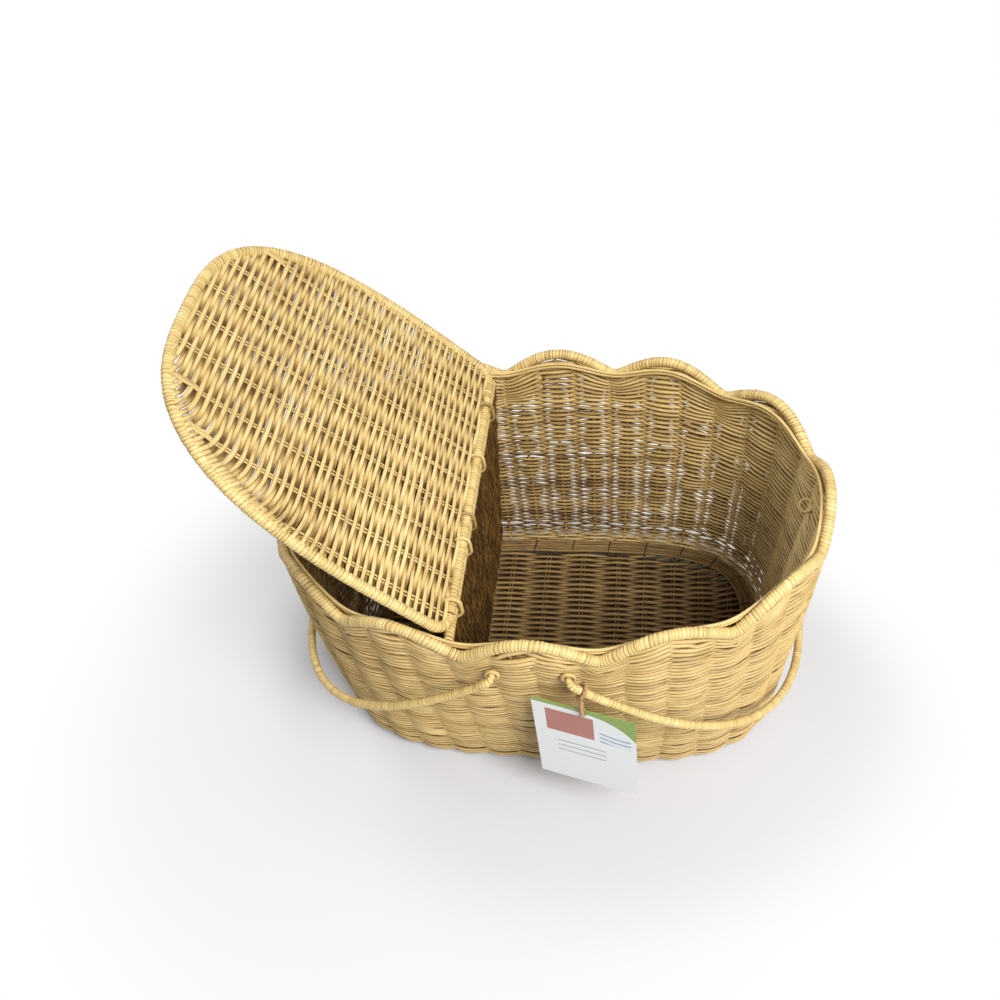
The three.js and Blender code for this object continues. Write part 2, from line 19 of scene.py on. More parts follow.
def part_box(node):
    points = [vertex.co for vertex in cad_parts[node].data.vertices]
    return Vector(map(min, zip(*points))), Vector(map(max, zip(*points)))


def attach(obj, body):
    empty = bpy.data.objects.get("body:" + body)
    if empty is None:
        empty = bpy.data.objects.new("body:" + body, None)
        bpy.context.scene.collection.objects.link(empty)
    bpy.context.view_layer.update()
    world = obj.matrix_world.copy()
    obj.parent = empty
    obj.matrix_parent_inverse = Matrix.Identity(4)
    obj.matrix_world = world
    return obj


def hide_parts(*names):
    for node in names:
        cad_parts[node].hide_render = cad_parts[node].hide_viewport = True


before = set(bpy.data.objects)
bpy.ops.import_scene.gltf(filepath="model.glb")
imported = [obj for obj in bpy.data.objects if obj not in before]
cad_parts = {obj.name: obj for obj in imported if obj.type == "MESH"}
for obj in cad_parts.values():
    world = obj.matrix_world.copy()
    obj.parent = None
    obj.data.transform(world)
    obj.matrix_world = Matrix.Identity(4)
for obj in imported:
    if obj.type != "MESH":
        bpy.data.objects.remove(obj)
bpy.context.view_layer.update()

log = logging.getLogger("basket")

MM = 0.001
SEED = 36
RIGHT, BACK, UP = np.eye(3)
FULL_TURN = 2 * math.pi
Pair = tuple[float, float]
Triple = tuple[float, float, float]


class Body(Enum):
    """The bodies that the pieces ride on."""

    BASKET = "basket"
    LID = "lid"
    LEFT_HANDLE = "left_handle"
    RIGHT_HANDLE = "right_handle"
    TAG = "hang_tag"


class Slot(Enum):
    """The record's material slots."""

    WOVEN = "woven_cane"
    WRAPPED = "wrapped_cane"
    SHADED = "shaded_cane"
    TWINE = "twine"
    CARD = "card"


def lerp(low: np.ndarray, high: np.ndarray, share: np.ndarray) -> np.ndarray:
    """A value between two others."""
    return low + (high - low) * share


def signed_power(value: np.ndarray, power: np.ndarray) -> np.ndarray:
    """A power that keeps its number's sign."""
    return np.sign(value) * np.abs(value) ** power


def unit(vectors: np.ndarray) -> np.ndarray:
    """Vectors brought to length one."""
    return vectors / np.maximum(np.linalg.norm(vectors, axis=-1, keepdims=True), 1e-9)


def beside(along: np.ndarray, normal: np.ndarray) -> tuple[np.ndarray, np.ndarray]:
    """The directions to the side of a run and out of its surface, both square to it."""
    side = unit(np.cross(unit(along), normal))
    return side, np.cross(side, unit(along))


def wheel(turn: np.ndarray, side: np.ndarray, lift: np.ndarray) -> np.ndarray:
    """Directions round an axis at turns from one side of it towards another."""
    return np.cos(turn)[..., None] * side + np.sin(turn)[..., None] * lift


def circle(
    middle: np.ndarray, radius: float, side: np.ndarray, lift: np.ndarray, count: int = 24
) -> np.ndarray:
    """Points of a ring that lies in the plane of two directions."""
    return middle + radius * wheel(FULL_TURN * np.arange(count) / count, side, lift)


def walked(line: np.ndarray) -> np.ndarray:
    """The distance walked along a line at each of its points."""
    steps = np.linalg.norm(np.diff(line, axis=0), axis=1)
    return np.concatenate([[0.0], np.cumsum(steps)])


def sampled(at: np.ndarray, places: np.ndarray, rows: np.ndarray) -> np.ndarray:
    """Rows of a table that changes steadily between its places."""
    return np.stack([np.interp(at, places, column) for column in rows.T], axis=-1)


def spaced(line: np.ndarray, count: int) -> np.ndarray:
    """A line drawn again with evenly spaced points."""
    length = walked(line)
    return sampled(np.linspace(0.0, length[-1], count), length, line)


def drawn_box(node: str) -> list[np.ndarray]:
    """The lowest and highest corners of a piece on the drawing."""
    return [np.array(corner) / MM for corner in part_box(node)]


def bar_line(node: str, x: float, z: float) -> np.ndarray:
    """The middle line of a straight bar that lies across the basket."""
    return spaced(np.array([[x, corner[1], z] for corner in drawn_box(node)]), 60)


# Shapes


@dataclass(frozen=True)
class Oval:
    """An oval with squared shoulders, or one for each of many heights."""

    half_length: float | np.ndarray
    half_width: float | np.ndarray
    power: float | np.ndarray

    def point(self, turn: np.ndarray) -> np.ndarray:
        """Points of the oval at turns round it."""
        x, y = (signed_power(wave(turn), 2 / self.power) for wave in (np.cos, np.sin))
        return np.stack([self.half_length * x, self.half_width * y], axis=-1)

    def outwards(self, turn: np.ndarray) -> np.ndarray:
        """Directions square to the oval at turns round it."""
        x, y = (signed_power(wave(turn), 2 - 2 / self.power) for wave in (np.cos, np.sin))
        return unit(np.stack([x / self.half_length, y / self.half_width], axis=-1))

    def half_width_at(self, x: np.ndarray) -> np.ndarray:
        """The oval's half-width at a place along its length."""
        share = np.clip(np.abs(x) / self.half_length, 0.0, 1.0)
        return self.half_width * (1 - share**self.power) ** (1 / self.power)


@dataclass(frozen=True)
class BasketForm:
    """The basket's wall as a surface: a flaring oval with a scalloped rim and a rolled foot."""

    rim: Oval = Oval(225.0, 157.0, 2.22)
    base: Oval = Oval(196.0, 127.8, 3.5)
    valley_height: float = 213.0
    scallop_rise: float = 21.8
    scallops: int = 12
    roundness: float = 0.16
    thickness: float = 6.5
    foot_round: float = 11.0
    foot_inset: float = 14.67
    floor_inset: float = 19.84
    table_rows: int = 17
    table_columns: int = 2401

    @property
    def roll_height(self) -> float:
        """Where the wall starts to roll under."""
        return self.foot_round + self.thickness / 2

    @cached_property
    def turn_table(self) -> np.ndarray:
        """The turns at even shares of the way round.

        Returns:
            One row of turns for each of some heights.
        """
        turns = np.linspace(-math.pi / 2, 1.5 * math.pi, 2881)
        rows = []
        for height in np.linspace(0.0, self.valley_height, self.table_rows):
            length = walked(self.oval_at(height).point(turns))
            rows.append(np.interp(np.linspace(0.0, 1.0, self.table_columns), length / length[-1], turns))
        return np.array(rows)

    def turn(self, around: np.ndarray, share: np.ndarray) -> np.ndarray:
        """The turn at a share of the way round, from the front middle towards +X.

        Args:
            around: Shares of the way round.
            share: Shares of the way up to the rim.

        Returns:
            The turns.
        """
        table = self.turn_table
        column = (around - np.floor(around)) * (self.table_columns - 1)
        row = share * (self.table_rows - 1)
        left = np.minimum(column.astype(int), self.table_columns - 2)
        low = np.minimum(row.astype(int), self.table_rows - 2)
        lower, upper = (lerp(table[at, left], table[at, left + 1], column - left) for at in (low, low + 1))
        return lerp(lower, upper, row - low)

    def oval_at(self, height: np.ndarray) -> Oval:
        """The wall's oval at a height."""
        share = np.clip(height / self.valley_height, 0.0, 1.0)
        return Oval(*(lerp(low, high, share) for low, high in zip(astuple(self.base), astuple(self.rim))))

    def place(self, around: np.ndarray, height: np.ndarray, outwards: np.ndarray) -> np.ndarray:
        """Points beside the wall's middle surface.

        Args:
            around: Shares of the way round the rim.
            height: Heights over the floor.
            outwards: Distances out from the middle surface.

        Returns:
            The points.
        """
        around, height, outwards = np.broadcast_arrays(around, height, outwards)
        oval = self.oval_at(height)
        turn = self.turn(around, np.clip(height / self.valley_height, 0.0, 1.0))
        flat = oval.point(turn) + outwards[..., None] * oval.outwards(turn)
        return np.concatenate([flat, height[..., None]], axis=-1)

    def skin(self, around: np.ndarray, climb: np.ndarray, outwards: np.ndarray) -> np.ndarray:
        """Points of the wall by how far they climb it, round the rolled foot and up.

        Args:
            around: Shares of the way round the rim.
            climb: Heights, or below the roll's start the way back along its arc.
            outwards: Distances out from the middle surface.

        Returns:
            The points.
        """
        around, climb, outwards = np.broadcast_arrays(around, climb, outwards)
        bend = np.maximum(self.roll_height - climb, 0.0) / self.foot_round
        radius = self.foot_round + outwards
        rolled = radius * np.cos(bend) - self.foot_round
        low = self.roll_height - radius * np.sin(bend)
        under = climb < self.roll_height
        return self.place(around, np.where(under, low, climb), np.where(under, rolled, outwards))

    def scallop(self, around: np.ndarray, rise: float, roundness: float) -> np.ndarray:
        """Height of a scalloped line: round tops and narrow valleys.

        Args:
            around: Shares of the way round the rim.
            rise: Height of the tops over the valleys.
            roundness: How round the valleys are.

        Returns:
            The heights over the floor.
        """
        wave = np.hypot(np.cos(math.pi * self.scallops * around), roundness)
        top = math.hypot(1, roundness)
        return self.valley_height + rise * (wave - roundness) / (top - roundness)

    def rim_height(self, around: np.ndarray) -> np.ndarray:
        """Heights of the rim's middle line."""
        return self.scallop(around, self.scallop_rise, self.roundness)

    def rim_line(self, around: np.ndarray) -> np.ndarray:
        """Points of the rim's middle line."""
        return self.place(around, self.valley_height, 0.0) * (1, 1, 0) + self.rim_height(around)[:, None] * UP


@dataclass(frozen=True)
class Bow:
    """A hoop's line: half an oval beyond its widest place, and what is left back to its start."""

    length: float
    half_width: float
    widest_at: float
    power: float

    @property
    def reach(self) -> float:
        """How far the bow runs on from its widest place."""
        return self.length - self.widest_at

    def inset(self, by: float) -> "Bow":
        """The same bow drawn in by some millimetres."""
        return Bow(self.length - by, self.half_width - by, self.widest_at, self.power)

    def half_width_at(self, x: np.ndarray) -> np.ndarray:
        """The bow's half-width at a place along it."""
        share = np.clip(np.abs(x - self.widest_at) / self.reach, 0.0, 1.0)
        return self.half_width * (1 - share**self.power) ** (1 / self.power)

    def length_at(self, y: float) -> float:
        """How far the bow runs at a place across it."""
        share = min(abs(y) / self.half_width, 0.999)
        return self.widest_at + self.reach * (1 - share**self.power) ** (1 / self.power)

    def line(self, start_x: float, count: int) -> np.ndarray:
        """Evenly spaced points from one side, round the far end, to the other.

        Args:
            start_x: Where both ends of the line stand.
            count: Number of points.

        Returns:
            The points, flat in the bow's own plane.
        """
        start = np.array((start_x - self.widest_at) / self.reach)
        end = math.acos(float(signed_power(start, self.power / 2)))
        points = Oval(self.reach, self.half_width, self.power).point(np.linspace(-end, end, 1200))
        return spaced(np.pad(points + (self.widest_at, 0.0), ((0, 0), (0, 1))), count)


@dataclass(frozen=True)
class Plane:
    """A local frame that a flat piece is drawn in."""

    origin: Triple
    along: Triple
    across: Triple = (0.0, 1.0, 0.0)

    @property
    def axes(self) -> np.ndarray:
        """The frame's three axes as rows."""
        return np.stack([self.along, self.across, np.cross(self.along, self.across)])

    def world(self, points: np.ndarray) -> np.ndarray:
        """Local points in the basket's frame."""
        return points @ self.axes + np.array(self.origin)


# Mesh making


@dataclass
class StrandMesh:
    """Gathers strands of cane and writes them as one mesh with a tone and a run-along map.

    A strand's tone carries painted shade: the side that faces the weave's middle is darkened where it lies
    deep in the weave, and the sides that lie against its neighbours are darkened along the groove.
    """

    name: str
    rng: np.random.Generator
    sides: int = 6
    # Weights of painted shade: on sides deep in the weave, along the grooves beside neighbours and between
    # wound turns.
    recess_shade: float = 0.7
    groove: float = 0.0
    wound_steps: int = 4
    wound_wear: float = 0.022
    wound_tone: float = 0.7
    wound_groove_shade: float = 0.42

    def __post_init__(self) -> None:
        """Starts an empty mesh."""
        self.points, self.tones, self.faces, self.maps, self.caps = [], [], [], [], []
        self.count = 0

    def add(
        self,
        line: np.ndarray,
        normal: np.ndarray,
        radius: float | np.ndarray,
        tone: float | None = None,
        closed: bool = False,
        flat: float = 1.0,
        depth: np.ndarray | float = 0.0,
        inside: np.ndarray | float = 0.0,
    ) -> None:
        """Adds one strand.

        Args:
            line: Points of its middle line.
            normal: Directions square to the surface that it lies in.
            radius: Its radius, or one for each point.
            tone: Its place from dark to light, or none for a natural one.
            closed: Whether its ends meet.
            flat: Its thickness along the normal as a share of its width.
            depth: How far each point lies out of the weave's middle, from -1 to 1.
            inside: Painted shade on the side that faces away from the normal: how much darker it is, or
                painted light where it is below zero.
        """
        count, sides = len(line), self.sides
        at, mode = np.arange(count + 1), "wrap" if closed else "clip"
        ahead, behind = (line.take(at[:-1] + step, axis=0, mode=mode) for step in (1, -1))
        side, lift = beside(ahead - behind, np.broadcast_to(normal, line.shape))
        turn = FULL_TURN * (np.arange(sides) + 0.5) / sides
        radius = np.broadcast_to(radius, count)[:, None, None]
        ring = wheel(turn, side[:, None], flat * lift[:, None])
        self.points.append((line[:, None] + radius * ring).reshape(-1, 3))
        tone = float(self.rng.uniform(0.2, 0.8)) if tone is None else tone
        depth, inside = (np.broadcast_to(value, count)[:, None] for value in (depth, inside))
        facing = np.sin(turn)[None, :]
        # Painted shade in the tone: sides deep in the weave, the inner side and the sides against the
        # neighbours are darkened.
        shade = self.recess_shade * np.maximum(-depth * facing, 0.0) + inside * np.maximum(-facing, 0.0)
        shade = shade + self.groove * np.cos(turn)[None, :] ** 2
        self.tones.append((tone - shade).ravel())
        rows = np.arange(count if closed else count - 1)
        row, flank = (grid.ravel() for grid in np.meshgrid(rows, np.arange(sides), indexing="ij"))
        near, far = row * sides, (row + 1) % count * sides
        beyond = (flank + 1) % sides
        corners = [near + flank, far + flank, far + beyond, near + beyond]
        self.faces.append(np.stack(corners, axis=1) + self.count)
        length = walked(line.take(at, axis=0, mode=mode)) * MM + float(self.rng.uniform(0.0, 40.0))
        low, high, left, right = length[row], length[row + 1], flank / sides, (flank + 1) / sides
        self.maps.append(np.stack([low, left, high, left, high, right, low, right], axis=1).reshape(-1, 2))
        if not closed:
            self.cap(self.count + np.arange(sides), low[0])
            self.cap(self.count + count * sides - 1 - np.arange(sides), high[-1])
        self.count += count * sides

    def cap(self, corners: np.ndarray, run: float) -> None:
        """Closes an end with one face."""
        self.caps.append((corners, np.tile([run, 0.5], (len(corners), 1))))

    def add_wrapped(
        self,
        line: np.ndarray,
        normal: np.ndarray,
        radius: float | np.ndarray,
        pitch: float,
        closed: bool = False,
        ridge: float = 0.45,
        spread: float = 0.09,
    ) -> None:
        """Adds a bar with cane wound round it, its turns following a true helix.

        Args:
            line: Points of the bar's middle line.
            normal: Direction square to the plane that the line keeps near.
            radius: Outer radius of the winding, or one for each point of the line.
            pitch: Width of one turn.
            closed: Whether the bar is a ring.
            ridge: Depth of the groove between two turns.
            spread: How far the turns' tones lie apart.
        """
        steps, sides = self.wound_steps, max(self.sides, 10)
        radius = np.broadcast_to(radius, len(line))
        table = np.column_stack([line, np.broadcast_to(normal, line.shape), radius])
        table = np.concatenate([table, table[:1]]) if closed else table
        length = walked(table[:, :3])
        whole = length[-1]
        turns = max(int(round(whole / pitch)), 2)
        pitch, rows, spare = whole / turns, turns * steps, 0 if closed else steps + 1

        def kept(at: np.ndarray) -> np.ndarray:
            """Distances along the bar brought back onto it."""
            return np.mod(at, whole) if closed else np.clip(at, 0.0, whole)

        row = np.arange(rows + spare)
        at = (row[:, None] / steps + np.arange(sides)[None, :] / sides) * pitch
        for wave in (31.0, 13.0):
            waves = FULL_TURN * max(round(whole / wave), 1) / whole
            at = at + 0.2 / waves * np.sin(waves * at + self.rng.uniform(0.0, 6.0))
        at = kept(at if closed else at - pitch / 2)
        nearby = (0.0, pitch / 3, -pitch / 3)
        here, ahead, behind = (sampled(kept(at + step), length, table) for step in nearby)
        side, lift = beside((ahead - behind)[..., :3], here[..., 3:6])
        wrap, seated = row // steps, row % steps == 0
        height = np.array([-ridge, -0.1 * ridge, 0.0, -0.1 * ridge])[row % steps]
        mean = float(radius.mean())
        wear = self.rng.normal(0.0, self.wound_wear * mean, turns + 3)[wrap % turns if closed else wrap]
        reach = here[..., 6] + (height + np.where(seated, 0.0, wear))[:, None]
        ring = wheel(FULL_TURN * np.arange(sides) / sides, side, lift)
        self.points.append((here[..., :3] + reach[..., None] * ring).reshape(-1, 3))
        tone = self.rng.normal(self.wound_tone, spread, turns + 3)[wrap % turns if closed else wrap]
        # Painted shade: each turn's seated edge, in the groove between turns, is darkened.
        self.tones.append(np.repeat(np.where(seated, tone - self.wound_groove_shade, tone), sides))
        row, flank = (grid.ravel() for grid in np.meshgrid(np.arange(rows), np.arange(sides), indexing="ij"))
        seam = flank == sides - 1
        beyond, shift = np.where(seam, 0, flank + 1), np.where(seam, steps, 0)
        near, far = ((row + step) % (rows + spare) * sides for step in (0, 1))
        near_on, far_on = ((row + step + shift) % (rows + spare) * sides for step in (0, 1))
        corners = [near + flank, far + flank, far_on + beyond, near_on + beyond]
        self.faces.append(np.stack(corners, axis=1) + self.count)
        round_it = FULL_TURN * mean * MM
        run, width = (row // steps + flank / sides) * round_it, row % steps / steps
        run_on, wide_on = run + round_it / sides, width + 1 / steps
        corners = [run, width, run, wide_on, run_on, wide_on, run_on, width]
        self.maps.append(np.stack(corners, axis=1).reshape(-1, 2))
        if not closed:
            end = np.concatenate([np.arange(sides), np.arange(steps, 0, -1) * sides])
            self.cap(self.count + end, 0.0)
            self.cap((self.count + rows * sides + end)[::-1], 0.0)
        self.count += (rows + spare) * sides

    def build(self) -> bpy.types.Object:
        """Writes the mesh.

        Returns:
            The finished object, at the origin.
        """
        quads = np.concatenate(self.faces)
        corner = np.concatenate([quads.ravel(), *(cap for cap, _ in self.caps)])
        uv = np.concatenate([*self.maps, *(values for _, values in self.caps)])
        ends = np.array([len(cap) for cap, _ in self.caps], dtype=int)
        size = np.concatenate([np.full(len(quads), 4), ends])
        used, corner = np.unique(corner, return_inverse=True)
        mesh = bpy.data.meshes.new(self.name)
        mesh.vertices.add(len(used))
        mesh.vertices.foreach_set("co", (np.concatenate(self.points) * MM)[used].astype(np.float32).ravel())
        mesh.loops.add(len(corner))
        mesh.loops.foreach_set("vertex_index", corner.astype(np.int32).ravel())
        mesh.polygons.add(len(size))
        starts = np.concatenate([[0], np.cumsum(size)[:-1]])
        mesh.polygons.foreach_set("loop_start", starts.astype(np.int32))
        mesh.polygons.foreach_set("use_smooth", np.ones(len(size), dtype=bool))
        mesh.update(calc_edges=True)
        mesh.uv_layers.new(name="cane").uv.foreach_set("vector", uv.astype(np.float32).ravel())
        tone = mesh.attributes.new("tone", "FLOAT", "POINT")
        tone.data.foreach_set("value", np.concatenate(self.tones)[used].astype(np.float32))
        made = bpy.data.objects.new(self.name, mesh)
        bpy.context.scene.collection.objects.link(made)
        return made


def deselect() -> None:
    """Leaves nothing selected."""
    for other in bpy.context.selected_objects:
        other.select_set(False)


def settle(piece: bpy.types.Object) -> None:
    """Moves a piece's place into its mesh, so that the object sits at the origin.

    Args:
        piece: The finished piece.
    """
    deselect()
    bpy.context.view_layer.objects.active = piece
    piece.select_set(True)
    bpy.ops.object.transform_apply(location=True, rotation=True, scale=True)
    piece.select_set(False)


# Finishes


def linear(value: float) -> float:
    """A display value from 0 to 255 as linear light."""
    share = value / 255
    return share / 12.92 if share <= 0.04045 else ((share + 0.055) / 1.055) ** 2.4


def paint(colour: Triple, share: float = 1.0) -> tuple[float, float, float, float]:
    """A share of a display colour as a linear one with full opacity."""
    return (*(linear(share * value) for value in colour), 1.0)


class Recipe:
    """Lays out the nodes of one material."""

    def __init__(self, name: str) -> None:
        """Starts a material with only its output.

        Args:
            name: Name of the material.
        """
        self.material = bpy.data.materials.new(name)
        self.material.use_nodes = True
        self.tree = self.material.node_tree
        self.tree.nodes.clear()
        self.output = self.tree.nodes.new("ShaderNodeOutputMaterial")

    def add(self, kind: str, inputs: dict | None = None, **settings: object) -> bpy.types.Node:
        """Adds a node.

        Args:
            kind: The node's type name, without its prefix.
            inputs: Values or sockets for its inputs, by name or number.
            **settings: Settings of the node itself.

        Returns:
            The node.
        """
        node = self.tree.nodes.new(f"ShaderNode{kind}")
        for key, value in settings.items():
            setattr(node, key, value)
        for key, value in (inputs or {}).items():
            if isinstance(value, bpy.types.NodeSocket):
                self.tree.links.new(value, node.inputs[key])
            else:
                node.inputs[key].default_value = value
        return node

    def math(self, operation: str, first: object, second: object = 0.0) -> bpy.types.NodeSocket:
        """A sum, product or other operation of two numbers or sockets."""
        return self.add("Math", {0: first, 1: second}, operation=operation).outputs[0]

    def vector(self, operation: str, first: object, second: object = UP) -> bpy.types.NodeSocket:
        """A distance, length or product of two places or sockets."""
        node = self.add("VectorMath", {0: first, 1: second}, operation=operation)
        return node.outputs["Vector" if operation == "MULTIPLY" else "Value"]

    def mix(self, share: object, first: object, second: object) -> bpy.types.NodeSocket:
        """A mix of two colours by a share."""
        return self.add("Mix", {0: share, 6: first, 7: second}, data_type="RGBA").outputs[2]

    def remap(self, value: object, source: Pair, target: Pair = (0.0, 1.0), kind: str = "LINEAR") -> object:
        """A value from one range spread over another."""
        ends = zip(("From Min", "From Max", "To Min", "To Max"), (*source, *target))
        return self.add("MapRange", {"Value": value, **dict(ends)}, interpolation_type=kind).outputs[0]

    def ramp(self, value: bpy.types.NodeSocket, stops: list[tuple[float, tuple]]) -> bpy.types.NodeSocket:
        """A colour picked by a value.

        Args:
            value: Socket with the value from 0 to 1.
            stops: Places and colours.

        Returns:
            The colour's socket.
        """
        node = self.add("ValToRGB", {0: value})
        elements = node.color_ramp.elements
        while len(elements) < len(stops):
            elements.new(0.5)
        for element, (place, colour) in zip(elements, stops):
            element.position, element.color = place, colour
        return node.outputs[0]

    def noise(self, vector: bpy.types.NodeSocket, stretch: Triple, detail: float) -> bpy.types.NodeSocket:
        """Soft noise from 0 to 1, drawn finer along each axis by its stretch."""
        place = self.add("Mapping", {"Vector": vector, "Scale": stretch}).outputs[0]
        return self.add("TexNoise", {"Vector": place, "Scale": 1.0, "Detail": detail}).outputs[0]

    def coat(
        self, colour: object, roughness: object, relief: object, strength: float, **inputs: float
    ) -> None:
        """Finishes the material.

        Args:
            colour: The surface's colour.
            roughness: Its roughness.
            relief: The heights of its small relief.
            strength: How strongly that relief shows.
            **inputs: Other inputs of the shader, with _ for each space.
        """
        bump = self.add("Bump", {"Height": relief, "Strength": strength, "Distance": 0.0003}).outputs[0]
        named = {name.replace("_", " "): value for name, value in inputs.items()}
        named |= {"Base Color": colour, "Roughness": roughness, "Normal": bump}
        shader = self.add("BsdfPrincipled", named)
        self.tree.links.new(shader.outputs[0], self.output.inputs[0])


@dataclass(frozen=True)
class Finish:
    """A finish, and the record's slot that it fills."""

    name: str
    slot: Slot

    @cached_property
    def material(self) -> bpy.types.Material:
        """The finish's material, made when it is first used.

        Returns:
            The material.
        """
        recipe = Recipe(self.name)
        self.lay_out(recipe)
        return recipe.material

    def lay_out(self, recipe: Recipe) -> None:
        """Lays out the material's nodes."""
        raise NotImplementedError


@dataclass(frozen=True)
class CaneFinish(Finish):
    """Peeled willow or split cane, streaked along its length."""

    dark: Triple
    middle: Triple
    light: Triple
    roughness: float
    grain: float = 0.35
    patches: float = 0.16
    spots: Pair = (0.66, 0.8)
    streak: Triple = (70.0, 5.0, 1.0)
    fibre: Triple = (90.0, 28.0, 1.0)
    spot: Triple = (34.0, 2.0, 1.0)
    patch: Triple = (14.0, 14.0, 14.0)

    def lay_out(self, recipe: Recipe) -> None:
        """Lays out the material's nodes.

        Args:
            recipe: The material.
        """
        run = recipe.add("UVMap", uv_map="cane").outputs[0]
        place = recipe.add("TexCoord").outputs["Object"]
        tone = recipe.add("Attribute", attribute_name="tone").outputs["Fac"]
        streaks = recipe.noise(run, self.streak, 4.0)
        fibres = recipe.noise(run, self.fibre, 2.0)
        patches = recipe.math("SUBTRACT", recipe.noise(place, self.patch, 2.0), 0.5)
        value = recipe.math("ADD", recipe.math("MULTIPLY", tone, 0.6), recipe.math("MULTIPLY", streaks, 0.5))
        value = recipe.math("ADD", value, recipe.math("MULTIPLY", patches, self.patches))
        stops = [(0.0, paint(self.dark, 0.5)), (0.2, paint(self.dark))]
        stops += [(0.5, paint(self.middle)), (0.86, paint(self.light))]
        colour = recipe.ramp(recipe.math("SUBTRACT", value, 0.08), stops)
        share = recipe.remap(recipe.noise(run, self.spot, 1.0), self.spots, (0.0, 0.5))
        colour = recipe.mix(share, colour, paint(self.dark, 0.62))
        shine = recipe.math("ADD", recipe.math("MULTIPLY", fibres, 0.25), self.roughness - 0.12)
        relief = recipe.math("ADD", fibres, recipe.math("MULTIPLY", streaks, 0.8))
        recipe.coat(colour, shine, relief, self.grain, Specular_IOR_Level=0.45)


@dataclass(frozen=True)
class TwineFinish(Finish):
    """Soft jute twine."""

    colour: Triple = (198.0, 162.0, 112.0)
    shade: Triple = (126.0, 94.0, 56.0)
    fuzz: Triple = (900.0, 9.0, 1.0)

    def lay_out(self, recipe: Recipe) -> None:
        """Lays out the material's nodes.

        Args:
            recipe: The material.
        """
        fuzz = recipe.noise(recipe.add("UVMap", uv_map="cane").outputs[0], self.fuzz, 3.0)
        colour = recipe.ramp(fuzz, [(0.3, paint(self.shade)), (0.65, paint(self.colour))])
        recipe.coat(colour, 0.9, fuzz, 0.6)


@dataclass(frozen=True)
class CardFinish(Finish):
    """A printed card: a green band at the top, a warm plain patch, pale wave lines and grey rules.

    Each print's box holds its middle and half its size, as shares of the card's width and height.
    """

    ground: Triple = (228.0, 231.0, 230.0)
    band: Triple = (132.0, 160.0, 70.0)
    band_edge: float = 0.965
    band_sag: float = 0.22
    patch: Triple = (176.0, 112.0, 98.0)
    patch_box: tuple[float, ...] = (0.36, 0.235, 0.775, 0.135)
    waves: Triple = (150.0, 172.0, 192.0)
    waves_box: tuple[float, ...] = (0.8, 0.15, 0.7, 0.07)
    rules: Triple = (160.0, 162.0, 164.0)
    rules_box: tuple[float, ...] = (0.46, 0.24, 0.46, 0.09)
    fibre: Triple = (360.0, 360.0, 6.0)

    def lay_out(self, recipe: Recipe) -> None:
        """Lays out the material's nodes. The card's map runs from its lower left corner to its top right.

        Args:
            recipe: The material.
        """
        run = recipe.add("UVMap", uv_map="card").outputs[0]
        across, up = recipe.add("SeparateXYZ", {0: run}).outputs[:2]

        def within(value: object, middle: float, half: float) -> object:
            """Where a value lies near a middle."""
            away = recipe.math("ABSOLUTE", recipe.math("SUBTRACT", value, middle))
            return recipe.math("LESS_THAN", away, half)

        def boxed(box: tuple[float, ...]) -> object:
            """Where the card lies in a box."""
            return recipe.math("MULTIPLY", within(across, *box[:2]), within(up, *box[2:]))

        def lines(value: object, least: float, box: tuple[float, ...]) -> object:
            """Where a wave is over a height, in a box."""
            over = recipe.math("GREATER_THAN", recipe.math("SINE", value), least)
            return recipe.math("MULTIPLY", over, boxed(box))

        bend = recipe.math("MULTIPLY", recipe.math("SINE", recipe.math("MULTIPLY", across, 9.0)), 0.02)
        waved = recipe.math("MULTIPLY", recipe.math("ADD", up, bend), 120.0)
        sag = recipe.math("MULTIPLY", recipe.math("POWER", across, 5.0), -self.band_sag)
        prints = (
            (lines(waved, 0.3, self.waves_box), self.waves),
            (lines(recipe.math("MULTIPLY", up, 100.0), 0.8, self.rules_box), self.rules),
            (recipe.math("GREATER_THAN", up, recipe.math("ADD", sag, self.band_edge)), self.band),
            (boxed(self.patch_box), self.patch),
        )
        colour = paint(self.ground)
        for share, ink in prints:
            colour = recipe.mix(share, colour, paint(ink))
        recipe.coat(colour, 0.38, recipe.noise(run, self.fibre, 4.0), 0.053)


WOVEN = CaneFinish("woven_cane", Slot.WOVEN, (104, 76, 38), (196, 164, 102), (238, 215, 152), 0.5)
WRAPPED = CaneFinish("wrapped_cane", Slot.WRAPPED, (112, 82, 42), (208, 178, 112), (240, 220, 156), 0.46)
# The shaded and golden canes are darker copies of the cane: painted shade for the floor, the foot border and
# the divider.
SHADED = CaneFinish("shaded_cane", Slot.SHADED, (58, 40, 18), (142, 112, 62), (190, 160, 100), 0.55)
SHADED_GOLDEN = CaneFinish("shaded_golden_cane", Slot.SHADED, (66, 44, 14), (150, 110, 48), (196, 156, 86), 0.55)
TWINE = TwineFinish("jute_twine", Slot.TWINE)
CARD = CardFinish("printed_card", Slot.CARD)


def dress(piece: bpy.types.Object, finish: Finish, body: Body, *nodes: str, slot: Slot | None = None) -> None:
    """Gives a piece its finish and its place in the frame.

    Args:
        piece: The finished mesh.
        finish: Its finish.
        body: The body that it rides on.
        *nodes: The nodes that it stands for.
        slot: The record's slot for it, where that isn't the finish's own; not used.
    """
    piece.data.materials.clear()
    piece.data.materials.append(finish.material)
    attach(piece, body.value)
    if nodes:
        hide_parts(*nodes)
    log.info("%s: %d faces", piece.name, len(piece.data.polygons))


# Weaving


